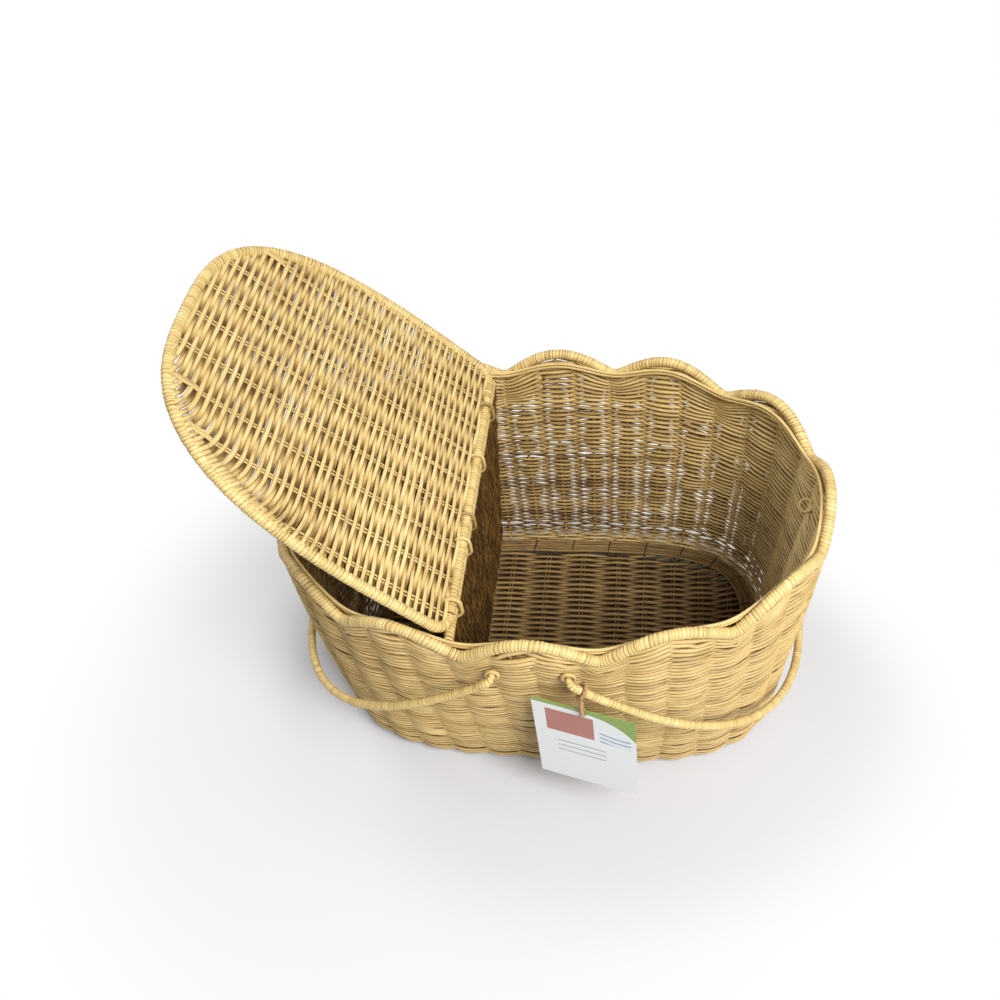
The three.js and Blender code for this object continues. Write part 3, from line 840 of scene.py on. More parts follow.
@dataclass(frozen=True)
class Gaps:
    """Where the wall's canes stand apart, widest along the front."""

    form: BasketForm
    count: int = 130
    front_share: float = 0.42
    front: Pair = (-0.2, 0.22)
    front_size: Pair = (0.7, 2.3)
    rest: Pair = (0.28, 0.72)
    rest_size: Pair = (0.3, 0.9)
    rim_share: float = 0.3
    under_rim: Pair = (9.0, 15.0)
    heights: Pair = (30.0, 205.0)
    fade: float = 8.0
    half_width: float = 0.0105

    @cached_property
    def places(self) -> np.ndarray:
        """Where the gaps are and how wide they open.

        Returns:
            Shares of the way round, heights and sizes.
        """
        rng = np.random.default_rng(SEED + 40)
        front = rng.uniform(size=self.count) < self.front_share
        around = np.where(front, *(rng.uniform(*part, self.count) for part in (self.front, self.rest)))
        sizes = (rng.uniform(*size, self.count) for size in (self.front_size, self.rest_size))
        size = np.where(front, *sizes)
        top = self.form.rim_height(around) - rng.uniform(*self.under_rim, self.count)
        at_rim = front & (rng.uniform(size=self.count) < self.rim_share)
        return np.stack([around, np.where(at_rim, top, rng.uniform(*self.heights, self.count)), size])

    def push(self, laps: np.ndarray, climb: np.ndarray) -> np.ndarray:
        """How far the canes beside a gap are pushed up or down.

        Args:
            laps: Laps walked since the spiral's start.
            climb: How far up the wall each point stands.

        Returns:
            The pushes.
        """
        around, height, size = self.places
        aside = np.mod(laps[:, None] - around + 0.5, 1.0) - 0.5
        above = climb[:, None] - height
        near = np.exp(-np.abs(above) / self.fade - (aside / self.half_width) ** 2)
        return (size * np.sign(above) * near).sum(axis=1)


@dataclass
class WovenWall:
    """The flaring wall: canes that spiral upwards, in and out of an odd number of upright stakes."""

    form: BasketForm
    stakes: int = 37
    stake_shift: float = 0.62
    stake_radius: float = 1.6
    stake_start: float = 0.5
    stake_below_rim: float = 3.0
    stake_lean: float = 0.0006
    stake_wave: Pair = (30.0, 60.0)
    stake_taper: float = 0.1
    stake_tone: float = 0.35
    strand_radius: float = 1.6
    top_radius: float = 2.25
    flat: float = 0.74
    swing: float = 2.45
    foot_start: float = 0.6
    foot_pitch: float = 2.0
    foot_laps: int = 6
    room: float = 3.6
    level_laps: tuple[int, ...] = (0, 3, 4, 41, 67)
    level_climbs: tuple[float, ...] = (12.6, 19.5, 24.5, 113.0, 180.0)
    high_laps: int = 18
    row_height: float = 2.48
    steps_per_span: int = 6
    cane_laps: Pair = (0.6, 3.2)
    shortest_laps: float = 0.3
    # Painted shade along the grooves where neighbouring strands touch.
    groove: float = 0.62
    tone: Pair = (0.8, 0.07)
    # Painted shade on the wall's inner side, darker towards the bottom, and painted light on the inner side
    # at the right end.
    inner_shade: float = 0.8
    right_end: float = 0.25
    end_light: float = 0.5
    wander_from: float = 12.0
    fade: float = 20.0
    unevenness: float = 0.08
    waist: float = 0.14
    swell: float = 0.05
    thinnest: float = 0.8
    rim_spread: float = 0.22
    drifts: tuple[Pair, ...] = ((0.45, 5), (0.36, 9), (0.3, 13), (0.22, 19), (0.2, 27))
    drift_height: Pair = (22.0, 60.0)
    own_waves: tuple[Triple, ...] = ((0.1, 3.0, 15.0), (0.08, 16.0, 40.0))

    def climb(self, laps: np.ndarray) -> np.ndarray:
        """How far up the wall the spiral stands: level below, following the scallops towards the rim.

        Args:
            laps: Laps walked since the spiral's start.

        Returns:
            The climbs.
        """
        level = np.interp(laps, self.level_laps, self.level_climbs)
        share = np.clip((laps - self.level_laps[-1]) / self.high_laps, 0.0, 1.0)
        return lerp(level, self.form.rim_height(laps) - self.room, share)

    def climb_foot(self, laps: np.ndarray) -> np.ndarray:
        """How far up the rolled foot its own spiral stands."""
        return self.foot_start + self.foot_pitch * laps

    def build(self) -> None:
        """Weaves the wall, from slow waves by which hand-laid rows wander up and down."""
        rng = np.random.default_rng(SEED)
        start = (0.0, FULL_TURN)
        drift = [(*wave, rng.uniform(*self.drift_height), rng.uniform(*start)) for wave in self.drifts]
        names = (f"wall_weave_{part}" for part in ("low", "high", "foot"))
        low, high, foot = (StrandMesh(name, rng, 5, groove=self.groove) for name in names)
        middle, level = float(self.level_laps[-2]), float(self.level_laps[-1])
        self.spiral(foot, [], 0.0, float(self.foot_laps), self.climb_foot)
        self.spiral(low, drift, 0.0, middle, self.climb)
        self.spiral(high, drift, middle, level + self.high_laps, self.climb)
        dress(low.build(), WOVEN, Body.BASKET, "wall")
        dress(high.build(), WOVEN, Body.BASKET)
        dress(foot.build(), WOVEN, Body.BASKET)
        self.add_stakes(rng)

    def spiral(
        self, weave: StrandMesh, drift: list[tuple], first: float, last: float, climb_at: Callable
    ) -> None:
        """Weaves one spiral from lengths of cane laid end to end.

        Args:
            weave: Where the canes go.
            drift: Waves by which the rows wander: size, laps round, height of a wave and start.
            first: Laps at the start.
            last: Laps at the end.
            climb_at: How far up the wall the spiral stands after some laps.
        """
        rng, span = weave.rng, 1.0 / self.stakes
        gaps = Gaps(self.form)
        start = first
        while start < last - 1e-6:
            end = start + span * round(rng.uniform(*self.cane_laps) * self.stakes)
            end = last if end > last - self.shortest_laps else end
            laps = np.linspace(start, end, max(round((end - start) / span * self.steps_per_span), 2) + 1)
            climb = climb_at(laps)
            wander = sum(
                size * np.sin(FULL_TURN * (lap * laps + climb / wave) + place)
                for size, lap, wave, place in drift
            )
            own = sum(
                size * np.sin(FULL_TURN * (rng.uniform(least, most) * laps + rng.uniform()))
                for size, least, most in self.own_waves
            )
            phase = math.pi * (self.stakes * laps - self.stake_shift)
            out = self.swing * np.cos(phase) + rng.normal(0, self.unevenness, len(laps))
            loose = np.clip((climb - self.wander_from) / self.fade, 0.0, 1.0)
            rise = climb + wander * loose + own + gaps.push(laps, climb)
            line = self.form.skin(laps, rise, out)
            normal = unit(self.form.skin(laps, rise, out + 1.0) - line)
            up = np.clip(climb / self.form.valley_height, 0.0, 1.0)
            thick = lerp(self.strand_radius, self.top_radius, up**1.5)
            thick = thick * (1 - self.waist + self.waist * np.abs(np.cos(phase)))
            thick = thick * (1 + self.swell * np.sin(FULL_TURN * (rng.uniform(1, 6) * laps)))
            room = (climb_at(laps + 1.0) - climb) / self.row_height
            thick = thick * np.clip(room, self.thinnest, 1.0 + self.rim_spread * up)
            tone = rng.normal(*self.tone)
            # Painted shade in the tone: sides facing the wall's middle darken, the inner side darkens towards
            # the bottom and fades in over the foot; painted light lifts the inner side at the right end.
            right_end = np.clip(np.cos(FULL_TURN * (laps - self.right_end)), 0.0, 1.0) ** 2
            inside = self.inner_shade * (1.0 - up) ** 0.8 * (1.0 - right_end)
            inside = inside * np.clip(climb / self.fade, 0.0, 1.0) - self.end_light * right_end
            weave.add(line, normal, thick, tone, flat=self.flat, depth=np.cos(phase), inside=inside)
            start = end

    def add_stakes(self, rng: np.random.Generator) -> None:
        """Sets the upright stakes.

        Args:
            rng: Source of natural differences.
        """
        uprights = StrandMesh("wall_stakes", rng, 7)
        for around in (np.arange(self.stakes) + self.stake_shift) / self.stakes:
            top = float(self.form.rim_height(around)) - self.stake_below_rim
            climb = np.linspace(self.stake_start, top, 26)
            wave = climb / rng.uniform(*self.stake_wave) + rng.uniform(0, 6)
            lean = around + self.stake_lean * np.sin(wave)
            line = self.form.skin(lean, climb, 0.0)
            normal = unit(self.form.skin(lean, climb, 1.0) - line)
            thick = self.stake_radius * (1 - self.stake_taper * climb / top)
            uprights.add(line, normal, thick, self.stake_tone)
        dress(uprights.build(), WOVEN, Body.BASKET)


@dataclass
class Rim:
    """The wound rim hoop and the loose strands just inside it."""

    form: BasketForm
    radius: float = 4.4
    pitch: float = 2.9
    strand_radius: float = 1.35
    strands: int = 2
    strand_rise: float = 10.0
    strand_lift: float = 6.0
    strand_drop: float = 3.4
    strand_inset: float = 6.3
    strand_wave: float = 0.8
    strand_waves: int = 7

    def build(self) -> None:
        """Winds the hoop and lays the strands."""
        rng = np.random.default_rng(SEED + 1)
        hoop = StrandMesh("rim_binding", rng, 12)
        hoop.add_wrapped(self.form.rim_line(np.arange(960) / 960), UP, self.radius, self.pitch, closed=True)
        dress(hoop.build(), WRAPPED, Body.BASKET, "rim_hoop")
        around = np.arange(288) / 288
        for number in range(self.strands):
            height = self.form.scallop(around, self.strand_rise, 1.0) + self.strand_lift
            wave = np.sin(FULL_TURN * (self.strand_waves * around + rng.uniform()))
            height = height - number * self.strand_drop + self.strand_wave * wave
            line = self.form.place(around, height, -self.strand_inset)
            strand = StrandMesh(f"rim_strand_{number + 1}", rng, 7)
            strand.add(line, UP, self.strand_radius, closed=True)
            dress(strand.build(), WOVEN, Body.BASKET, f"rim_inner_strand_{number + 1}")


@dataclass
class FootBorder:
    """The rope border that the basket stands on, the flat canes laid over it inside and their ties.

    Each cover and each point of a tie has its distance in from the wall and its height.
    """

    form: BasketForm
    middle: float = 4.5
    strand_radius: float = 2.25
    lay_radius: float = 2.2
    lay_length: float = 30.0
    cover_radius: float = 1.5
    cover: tuple[Pair, ...] = ((10.6, 9.4), (13.4, 9.7), (16.2, 9.5), (19.0, 9.0), (21.8, 8.3))
    cover_wave: float = 0.3
    cover_waves: tuple[int, int] = (7, 19)
    cover_tones: Pair = (0.3, 0.6)
    first_tie_lift: float = 1.0
    tie_lift: float = 1.2
    tie_ends: tuple[Pair, Pair] = ((8.4, 8.2), (24.2, 6.0))
    tie_slant: float = 0.0012
    tie_radius: float = 0.9
    # The ties' low tone is painted shade.
    tie_tone: float = 0.12
    tie_shift: float = 0.4
    ties: int = 29

    def build(self) -> None:
        """Lays the rope, its cover and the ties."""
        rng = np.random.default_rng(SEED + 2)
        around = np.arange(420) / 420
        centre = self.form.place(around, 0.0, -self.form.foot_inset) + self.middle * UP
        length = walked(np.concatenate([centre, centre[:1]]))
        share, turns = length[:-1] / length[-1], round(length[-1] / self.lay_length)
        outwards = unit(self.form.place(around, 0.0, 1.0) - self.form.place(around, 0.0, 0.0))
        rope = StrandMesh("foot_border", rng, 7)
        for strand in range(3):
            offset = self.lay_radius * wheel(FULL_TURN * (turns * share + strand / 3), outwards, UP)
            rope.add(centre + offset, UP, self.strand_radius, closed=True)
        for inset, height in self.cover:
            wave = np.sin(FULL_TURN * (rng.integers(*self.cover_waves) * around + rng.uniform()))
            line = self.form.place(around, 0.0, self.cover_wave * wave - inset) + height * UP
            rope.add(line, UP, self.cover_radius, rng.uniform(*self.cover_tones), closed=True)
        lifts = [self.first_tie_lift] + [self.tie_lift] * (len(self.cover) - 1)
        over = [(inset, height + lift) for (inset, height), lift in zip(self.cover, lifts)]
        insets, heights = np.array([self.tie_ends[0], *over, self.tie_ends[1]]).T
        for place in (np.arange(self.ties) + self.tie_shift) / self.ties:
            places = place + np.linspace(-self.tie_slant, self.tie_slant, len(insets))
            line = self.form.place(places, 0.0, -insets) + heights[:, None] * UP
            rope.add(line, UP, self.tie_radius, self.tie_tone)
        # Painted shade: the border takes the darker, shaded copy of the cane.
        dress(rope.build(), SHADED, Body.BASKET, "foot_hoop", slot=Slot.WRAPPED)


class Extent:
    """The outline that a woven board fills. Canes run across the board and stakes along it."""

    def across(self, at: float) -> Pair:
        """Where a cane at this place along the board starts and ends."""
        raise NotImplementedError

    def along(self, at: float) -> Pair:
        """Where a stake at this place across the board starts and ends."""
        raise NotImplementedError

    def bend(self, at: float, across: np.ndarray) -> np.ndarray:
        """How far a cane is bent along the board at places across it."""
        return np.zeros_like(across)

    def ride(self, at: float, across: np.ndarray) -> np.ndarray:
        """How far a cane has climbed onto the board's frame at places across it, from 0 to 1."""
        return np.zeros_like(across)

    def emerge(self, at: float, along: np.ndarray) -> np.ndarray:
        """How far a stake has come up through the canes at places along it, from 0 to 1."""
        return np.zeros_like(along)


@dataclass(frozen=True)
class PlainWeave:
    """A flat board of canes woven over and under pairs of stakes."""

    name: str
    seed: int
    stake_pitch: float
    strand_radius: float
    stake_radius: float
    swing: float
    pair_gap: float
    tones: Pair
    stake_tones: Pair
    # Painted shade on the sides of the canes that face the board's middle.
    recess_shade: float
    flat: float = 1.0
    back_spread: float = 0.0
    ride_height: float = 4.0
    stake_rise: float = 3.0
    stake_swell: float = 0.6
    # Painted shade along the sides that lie against neighbouring canes.
    groove: float = 0.2
    wander: float = 0.3
    cane_wave: Pair = (25.0, 60.0)
    play: float = 0.12
    unevenness: float = 0.1
    cane_sizes: Pair = (0.92, 1.08)
    stake_wander: float = 0.25
    stake_wave: Pair = (15.0, 30.0)
    steps: int = 8
    near_ends: tuple[float, ...] = (1.0, 2.2, 3.6, 5.2, 7.0)

    def weave(self, plane: Plane, places: np.ndarray, stakes: np.ndarray, extent: Extent) -> StrandMesh:
        """Weaves the board in its own frame.

        Args:
            plane: The board's frame.
            places: Where each cane lies along the board.
            stakes: Where each pair of stakes lies across it.
            extent: The board's outline.

        Returns:
            The strands of the board.
        """
        rng, near = np.random.default_rng(self.seed), np.array(self.near_ends)
        board = StrandMesh(self.name, rng, 5, self.recess_shade, self.groove)
        for number, at in enumerate(places):
            low, high = extent.across(at)
            count = max(int((high - low) / self.stake_pitch * self.steps), self.steps)
            across = np.unique(np.concatenate([np.linspace(low, high, count), low + near, high - near]))
            phase = math.pi * (np.interp(across, stakes, np.arange(len(stakes))) + number + 1)
            wander = self.wander * np.sin(across / rng.uniform(*self.cane_wave) + rng.uniform(0, 6))
            wander = wander + rng.normal(0, self.play)
            ride = extent.ride(at, across)
            height = self.swing * np.cos(phase) + rng.normal(0, self.unevenness, len(across))
            line = [at + wander + extent.bend(at, across), across, lerp(height, -self.ride_height, ride)]
            depth = np.cos(phase) * (1.0 - ride)
            swell = 1.0 + self.back_spread * np.maximum(depth, 0.0)
            thick = self.strand_radius * rng.uniform(*self.cane_sizes) * swell
            points, tone = plane.world(np.stack(line, axis=1)), rng.uniform(*self.tones)
            board.add(points, plane.axes[2], thick, tone, flat=self.flat, depth=depth)
        for across in (at + side * self.pair_gap for at in stakes for side in (-1, 1)):
            along = np.linspace(*extent.along(across), 40)
            bend = self.stake_wander * np.sin(along / rng.uniform(*self.stake_wave) + rng.uniform(0, 6))
            above = extent.emerge(across, along)
            points = plane.world(np.stack([along, across + bend, -self.stake_rise * above], axis=1))
            tone, thick = rng.uniform(*self.stake_tones), self.stake_radius * (1 + self.stake_swell * above)
            board.add(points, plane.axes[2], thick, tone)
        return board


@dataclass
class LidExtent(Extent):
    """The lid's outline inside its hoop, whose front ends of cane fan out onto the hoop."""

    bow: Bow
    start: float = 3.0
    fan_from: float = 95.0
    fan_grows: float = 90.0
    fan: float = 18.0
    fan_reach: float = 32.0
    ride_reach: float = 8.0
    inner_stakes: Pair = (-50.0, 80.0)
    emerge_from: float = 28.0
    emerge_over: float = 10.0

    def across(self, at: float) -> Pair:
        """Where a cane at this place along the lid starts and ends.

        Args:
            at: The cane's place.

        Returns:
            Its two ends.
        """
        tries = np.linspace(0.0, self.bow.half_width, 500)
        places = np.minimum(at + self.bend(at, -tries), self.bow.length)
        return -tries[self.bow.half_width_at(places) >= tries].max(), self.bow.half_width_at(at)

    def along(self, at: float) -> Pair:
        """Where a stake at this place across the lid starts and ends."""
        return self.start, self.bow.length_at(at)

    def fanned(self, at: float) -> float:
        """How much a cane at this place along the lid fans out, from 0 to 1."""
        return np.clip((at - self.fan_from) / self.fan_grows, 0.0, 1.0)

    def bend(self, at: float, across: np.ndarray) -> np.ndarray:
        """How far a cane's front end is bent towards the lid's far end at places across it.

        Args:
            at: The cane's place along the lid.
            across: Places across the lid.

        Returns:
            The bends.
        """
        edge = self.bow.half_width_at(at)
        share = np.clip((self.fan_reach - edge - across) / self.fan_reach, 0.0, 1.0)
        return self.fan * self.fanned(at) * edge / self.bow.half_width * share**2

    def ride(self, at: float, across: np.ndarray) -> np.ndarray:
        """How far a cane's front end has climbed onto the hoop at places across the lid, from 0 to 1."""
        gap = (across - self.across(at)[0]) / self.ride_reach
        return self.fanned(at) ** 0.5 * np.sqrt(np.clip(1.0 - gap**2, 0.0, 1.0))

    def emerge(self, at: float, along: np.ndarray) -> np.ndarray:
        """How far an outer stake has come up through the canes at places along it, from 0 to 1.

        Args:
            at: The stake's place across the lid.
            along: Places along the stake.

        Returns:
            The shares.
        """
        share = np.clip((along - self.along(at)[1] + self.emerge_from) / self.emerge_over, 0.0, 1.0)
        outer = at < self.inner_stakes[0] or at > self.inner_stakes[1]
        return share**2 * (3.0 - 2.0 * share) * outer


@dataclass
class FloorExtent(Extent):
    """The floor's outline inside the foot border, towards which the canes' ends fan out."""

    form: BasketForm
    fan: float = 9.0
    fan_reach: float = 36.0
    fan_grows: float = 90.0

    @cached_property
    def quadrant(self) -> np.ndarray:
        """Points of the outline from the right end to the back."""
        return self.form.place(np.linspace(0.25, 0.5, 400), 0.0, -self.form.floor_inset)[:, :2]

    def half_length_at(self, at: np.ndarray) -> np.ndarray:
        """The outline's half length at places across the floor."""
        return np.interp(np.abs(at), self.quadrant[:, 1], self.quadrant[:, 0])

    def across(self, at: float) -> Pair:
        """Where a cane at this place across the floor starts and ends along X.

        Args:
            at: The cane's place.

        Returns:
            Its two ends.
        """
        tries = np.linspace(0.0, self.quadrant[0, 0], 600)
        half = tries[self.half_length_at(at + self.bend(at, tries)) >= tries].max()
        return -half, half

    def along(self, at: float) -> Pair:
        """Where a stake at this place along X starts and ends."""
        half = np.interp(abs(at), *self.quadrant[::-1].T)
        return -half, half

    def bend(self, at: float, across: np.ndarray) -> np.ndarray:
        """How far a cane's ends are bent away from the floor's middle at places along X."""
        share = (np.abs(across) + self.fan_reach - self.half_length_at(at)) / self.fan_reach
        return self.fan * np.clip(at / self.fan_grows, -1.0, 1.0) * np.clip(share, 0.0, 1.0) ** 2


@dataclass
class DividerExtent(Extent):
    """The divider's outline between the walls."""

    form: BasketForm
    bottom: float = 7.4
    top: float = 209.5
    x: float = -68.0
    side_gap: float = 4.6
    roll_share: float = 1.2

    @cached_property
    def edge(self) -> tuple[np.ndarray, np.ndarray]:
        """The board's two slanted sides.

        Returns:
            Heights, and half the room between the walls at them.
        """
        heights = np.linspace(self.bottom, self.top, 60)
        rolled = np.maximum(self.form.roll_height - heights, 0.0) * self.roll_share
        return heights, self.form.oval_at(heights).half_width_at(self.x) - self.side_gap - rolled

    def across(self, at: float) -> Pair:
        """Where an upright cane at this place across the divider starts and ends."""
        heights, halves = self.edge
        return np.interp(abs(at), halves, heights) if abs(at) > halves[0] else self.bottom, self.top

    def along(self, at: float) -> Pair:
        """Where a level stake at this height starts and ends."""
        half = np.interp(at, *self.edge)
        return -half, half


@dataclass
class Floor:
    """The woven floor: canes along the basket over pairs of stakes that cross it."""

    form: BasketForm
    thickness: float = 7.0
    pitch: float = 3.2
    half_width: float = 105.0
    stake_middle: float = 52.4
    end_pitch: float = 27.5
    # Painted shade: the floor takes the darker, shaded copy of the cane, low tones and strong shade where
    # canes pass under, for the shade inside the basket.
    weave: PlainWeave = PlainWeave(
        name="floor_weave",
        seed=SEED + 3,
        stake_pitch=36.6,
        strand_radius=1.72,
        stake_radius=1.1,
        swing=1.4,
        pair_gap=1.6,
        tones=(0.46, 0.68),
        stake_tones=(0.2, 0.4),
        recess_shade=1.1,
    )

    def build(self) -> None:
        """Weaves the floor."""
        plane = Plane((0.0, 0.0, self.thickness / 2), tuple(BACK), tuple(RIGHT))
        places = np.arange(-self.half_width, self.half_width + 0.5, self.pitch)
        steps = [self.weave.stake_pitch * np.arange(-6, 1), self.end_pitch * np.arange(1, 5)]
        stakes = self.stake_middle + np.concatenate(steps)
        board = self.weave.weave(plane, places, stakes, FloorExtent(self.form))
        dress(board.build(), SHADED, Body.BASKET, "floor_panel")


@dataclass
class Divider:
    """The woven board that parts the two halves, and the wound rail along its top."""

    form: BasketForm
    foot_x: float = -74.0
    top_x: float = -61.9
    bottom: float = 7.3
    top: float = 210.5
    rail_z: float = 214.8
    rail_radius: float = 4.0
    rail_pitch: float = 3.2
    pitch: float = 3.5
    stakes: Pair = (20.0, 208.0)
    # Painted shade: the divider takes a darker golden copy of the cane and low tones, for the shade it stands
    # in.
    weave: PlainWeave = PlainWeave(
        name="divider_weave",
        seed=SEED + 4,
        stake_pitch=27.0,
        strand_radius=1.6,
        stake_radius=1.2,
        swing=1.1,
        pair_gap=1.5,
        tones=(0.12, 0.32),
        stake_tones=(0.1, 0.2),
        recess_shade=0.3,
        flat=0.9,
    )

    def build(self) -> None:
        """Weaves the divider and winds its rail."""
        lean = (self.top_x - self.foot_x) / (self.top - self.bottom)
        upright = unit(np.array([lean, 0.0, 1.0]))
        plane = Plane((self.foot_x - self.bottom * lean, 0.0, 0.0), tuple(BACK), tuple(upright))
        extent = DividerExtent(self.form)
        widest = extent.edge[1][-1]
        places = np.arange(-widest + 1.5, widest - 1.0, self.pitch)
        board = self.weave.weave(plane, places, np.arange(*self.stakes, self.weave.stake_pitch), extent)
        dress(board.build(), SHADED_GOLDEN, Body.BASKET, "divider_panel")
        rail = StrandMesh("rail_binding", np.random.default_rng(SEED + 5), 10)
        line = bar_line("divider_rail", self.top_x, self.rail_z)
        rail.add_wrapped(line, UP, self.rail_radius, self.rail_pitch)
        dress(rail.build(), WRAPPED, Body.BASKET, "divider_rail")


@dataclass
class HingeLoops:
    """Loops of cane that hold the lid's bar on the rail, each with its place and its radius."""

    axis_x: float = -61.9
    axis_z: float = 223.8
    rail_z: float = 214.8
    reach: float = 5.0
    loops: tuple[tuple[str, float, float], ...] = (
        ("hinge_ring_front", -115.0, 1.7),
        ("hinge_tie_front", -56.0, 1.3),
        ("hinge_tie_middle", -30.0, 1.3),
        ("hinge_tie_back", 35.0, 1.3),
        ("hinge_ring_back", 97.0, 1.7),
    )

    def build(self) -> None:
        """Bends the loops."""
        rng = np.random.default_rng(SEED + 6)
        half = np.linspace(0.0, math.pi, 13)
        for name, y, radius in self.loops:
            ends = [[self.axis_x, y, self.axis_z], [self.axis_x, y, self.rail_z]]
            middles = np.repeat(ends, len(half), axis=0)
            turn = np.concatenate([half, half + math.pi])
            loop = StrandMesh(f"{name}_cane", rng, 8)
            loop.add(middles + (self.reach + radius) * wheel(turn, RIGHT, UP), BACK, radius, closed=True)
            dress(loop.build(), WRAPPED, Body.BASKET, name)


@dataclass
class Lid:
    """The flip lid: a wound hoop and hinge bar round a plain-woven panel."""

    axis_x: float = -61.9
    axis_z: float = 223.8
    tilt: float = 46.9
    bow: Bow = Bow(271.4, 146.3, 26.6, 3.0)
    corner: float = 20.0
    hoop_radius: float = 4.5
    wound_pitch: float = 2.8
    hoop_play: float = 0.08
    bar_play: float = 0.3
    pitch: float = 3.38
    first_cane: float = 5.2
    end_room: float = 8.0
    stake_middle: float = 2.9
    # Painted shade: the canes darken where they pass under, in the gaps.
    weave: PlainWeave = PlainWeave(
        name="lid_weave",
        seed=SEED + 8,
        stake_pitch=32.7,
        strand_radius=1.92,
        stake_radius=0.85,
        swing=1.4,
        pair_gap=1.3,
        tones=(0.78, 1.0),
        stake_tones=(0.6, 0.85),
        recess_shade=1.02,
        flat=0.78,
        back_spread=0.18,
    )

    def outline(self, by: float) -> np.ndarray:
        """The lid's outline drawn in by some millimetres, from one hinge corner to the other.

        Args:
            by: How far in.

        Returns:
            The points, in the lid's own plane.
        """
        centre_x = self.corner - self.hoop_radius
        middle = (centre_x, self.corner - self.bow.half_width_at(centre_x), 0.0)
        corner = middle + (self.corner - by) * wheel(math.pi + math.pi / 16 * np.arange(8), RIGHT, BACK)
        bow = self.bow.inset(by).line(centre_x, 240)
        return np.concatenate([corner, bow, (corner * [1, -1, 1])[::-1]])

    def build(self) -> None:
        """Winds the hoop and the bar and weaves the panel, open as in the drawing."""
        rng, turn = np.random.default_rng(SEED + 7), math.radians(self.tilt)
        plane = Plane((self.axis_x, 0.0, self.axis_z), (-math.cos(turn), 0.0, math.sin(turn)))
        line = plane.world(spaced(self.outline(self.hoop_radius), 420))
        hoop = StrandMesh("lid_binding", rng, 12)
        hoop.add_wrapped(line, plane.axes[2], self.hoop_radius - self.hoop_play, self.wound_pitch)
        dress(hoop.build(), WRAPPED, Body.LID, "lid_hoop")
        line = bar_line("lid_hinge_bar", self.axis_x, self.axis_z)
        bar = StrandMesh("lid_bar_binding", rng, 12)
        bar.add_wrapped(line, UP, self.hoop_radius - self.bar_play, self.wound_pitch)
        dress(bar.build(), WRAPPED, Body.LID, "lid_hinge_bar")
        places = np.arange(self.first_cane, self.bow.length - self.end_room, self.pitch)
        stakes = self.stake_middle + self.weave.stake_pitch * np.arange(-4, 5)
        board = self.weave.weave(plane, places, stakes, LidExtent(self.bow.inset(self.hoop_radius)))
        dress(board.build(), WOVEN, Body.LID, "lid_panel")


@dataclass
class Handle:
    """One swing handle: a wound bow whose ends turn in their eyes."""

    side: int
    hang: float
    pivot_x: float = 28.6
    pivot_z: float = 198.2
    bow: Bow = Bow(228.6, 168.0, 39.3, 2.33)
    radius: float = 3.58
    taper_from: Pair = (5.0, 12.0)
    taper: Pair = (2.4, 2.8)
    eye_radius: float = 4.6
    eye_cane: float = 1.6
    pitch: float = 2.4
    hook: float = 6.0
    tip_play: float = 0.6

    @property
    def name(self) -> str:
        """The handle's side as a word."""
        return "right" if self.side > 0 else "left"

    def build(self) -> None:
        """Winds the handle, hanging at rest, and coils its eyes."""
        rng, turn = np.random.default_rng(SEED + 10 + self.side), math.radians(self.hang)
        out = (self.side * math.cos(turn), 0.0, -math.sin(turn))
        plane = Plane((self.side * self.pivot_x, 0.0, self.pivot_z), out)
        line = self.hooked_line()
        from_end = np.minimum(walked(line), walked(line)[-1] - walked(line))
        radius = np.interp(from_end, [0.0, *self.taper_from], [*self.taper, self.radius])
        grip = StrandMesh(f"handle_{self.name}_binding", rng, 10)
        grip.add_wrapped(plane.world(line), plane.axes[2], radius, self.pitch, ridge=0.3, spread=0.08)
        dress(grip.build(), WRAPPED, Body(f"{self.name}_handle"), f"handle_{self.name}")
        for face in ("front", "back"):
            node = f"handle_eye_{self.name}_{face}"
            middle = (self.side * self.pivot_x, np.mean(drawn_box(node), axis=0)[1], self.pivot_z)
            eye = StrandMesh(f"eye_{self.name}_{face}", rng, 8)
            eye.add(circle(middle, self.eye_radius, RIGHT, UP), BACK, self.eye_cane, 0.6, closed=True)
            dress(eye.build(), WOVEN, Body.BASKET, node)

    def hooked_line(self) -> np.ndarray:
        """The handle's middle line, with each end hooked inwards through its eye.

        Returns:
            The points, in the handle's own plane.
        """
        inner = -drawn_box(f"handle_eye_{self.name}_front")[1][1] - self.tip_play
        bow = self.bow.line(self.hook, 300)
        outer = -bow[0, 1]
        turn = np.linspace(0.0, math.pi / 2, 9)[1:]
        y = outer - min(self.hook, outer - inner - 1.0) * (1 - np.cos(turn))
        hook = np.stack([self.hook * (1 - np.sin(turn)), y, np.zeros_like(y)], axis=1)
        end = np.concatenate([hook, [[0.0, inner, 0.0]]])
        return spaced(np.concatenate([(end * [1, -1, 1])[::-1], bow, end]), 420)


@dataclass
class EndRing:
    """The small cane ring inside the right end wall: threaded through it, so that it leans out."""

    ring_radius: float = 5.5
    cane_radius: float = 1.3
    # Paler cane, lifted further by painted light: the tone runs past the cane's lightest to stand out against
    # the dim light inside the end wall.
    tone: float = 1.35
    lift: float = 1.8
    lean: float = 0.62
    wall: Triple = (1.0, 0.12, -0.13)
    leant: Triple = (0.14, 0.61, -0.78)

    def build(self) -> None:
        """Bends the ring."""
        wall = unit(np.array(self.wall))
        normal = unit(lerp(wall, np.array(self.leant), self.lean))
        middle = np.mean(drawn_box("end_ring"), axis=0) - self.lift * wall
        cane = StrandMesh("end_ring_cane", np.random.default_rng(SEED + 20), 8)
        line = circle(middle, self.ring_radius, *beside(normal, UP))
        cane.add(line, normal, self.cane_radius, self.tone, closed=True)
        dress(cane.build(), WOVEN, Body.BASKET, "end_ring")


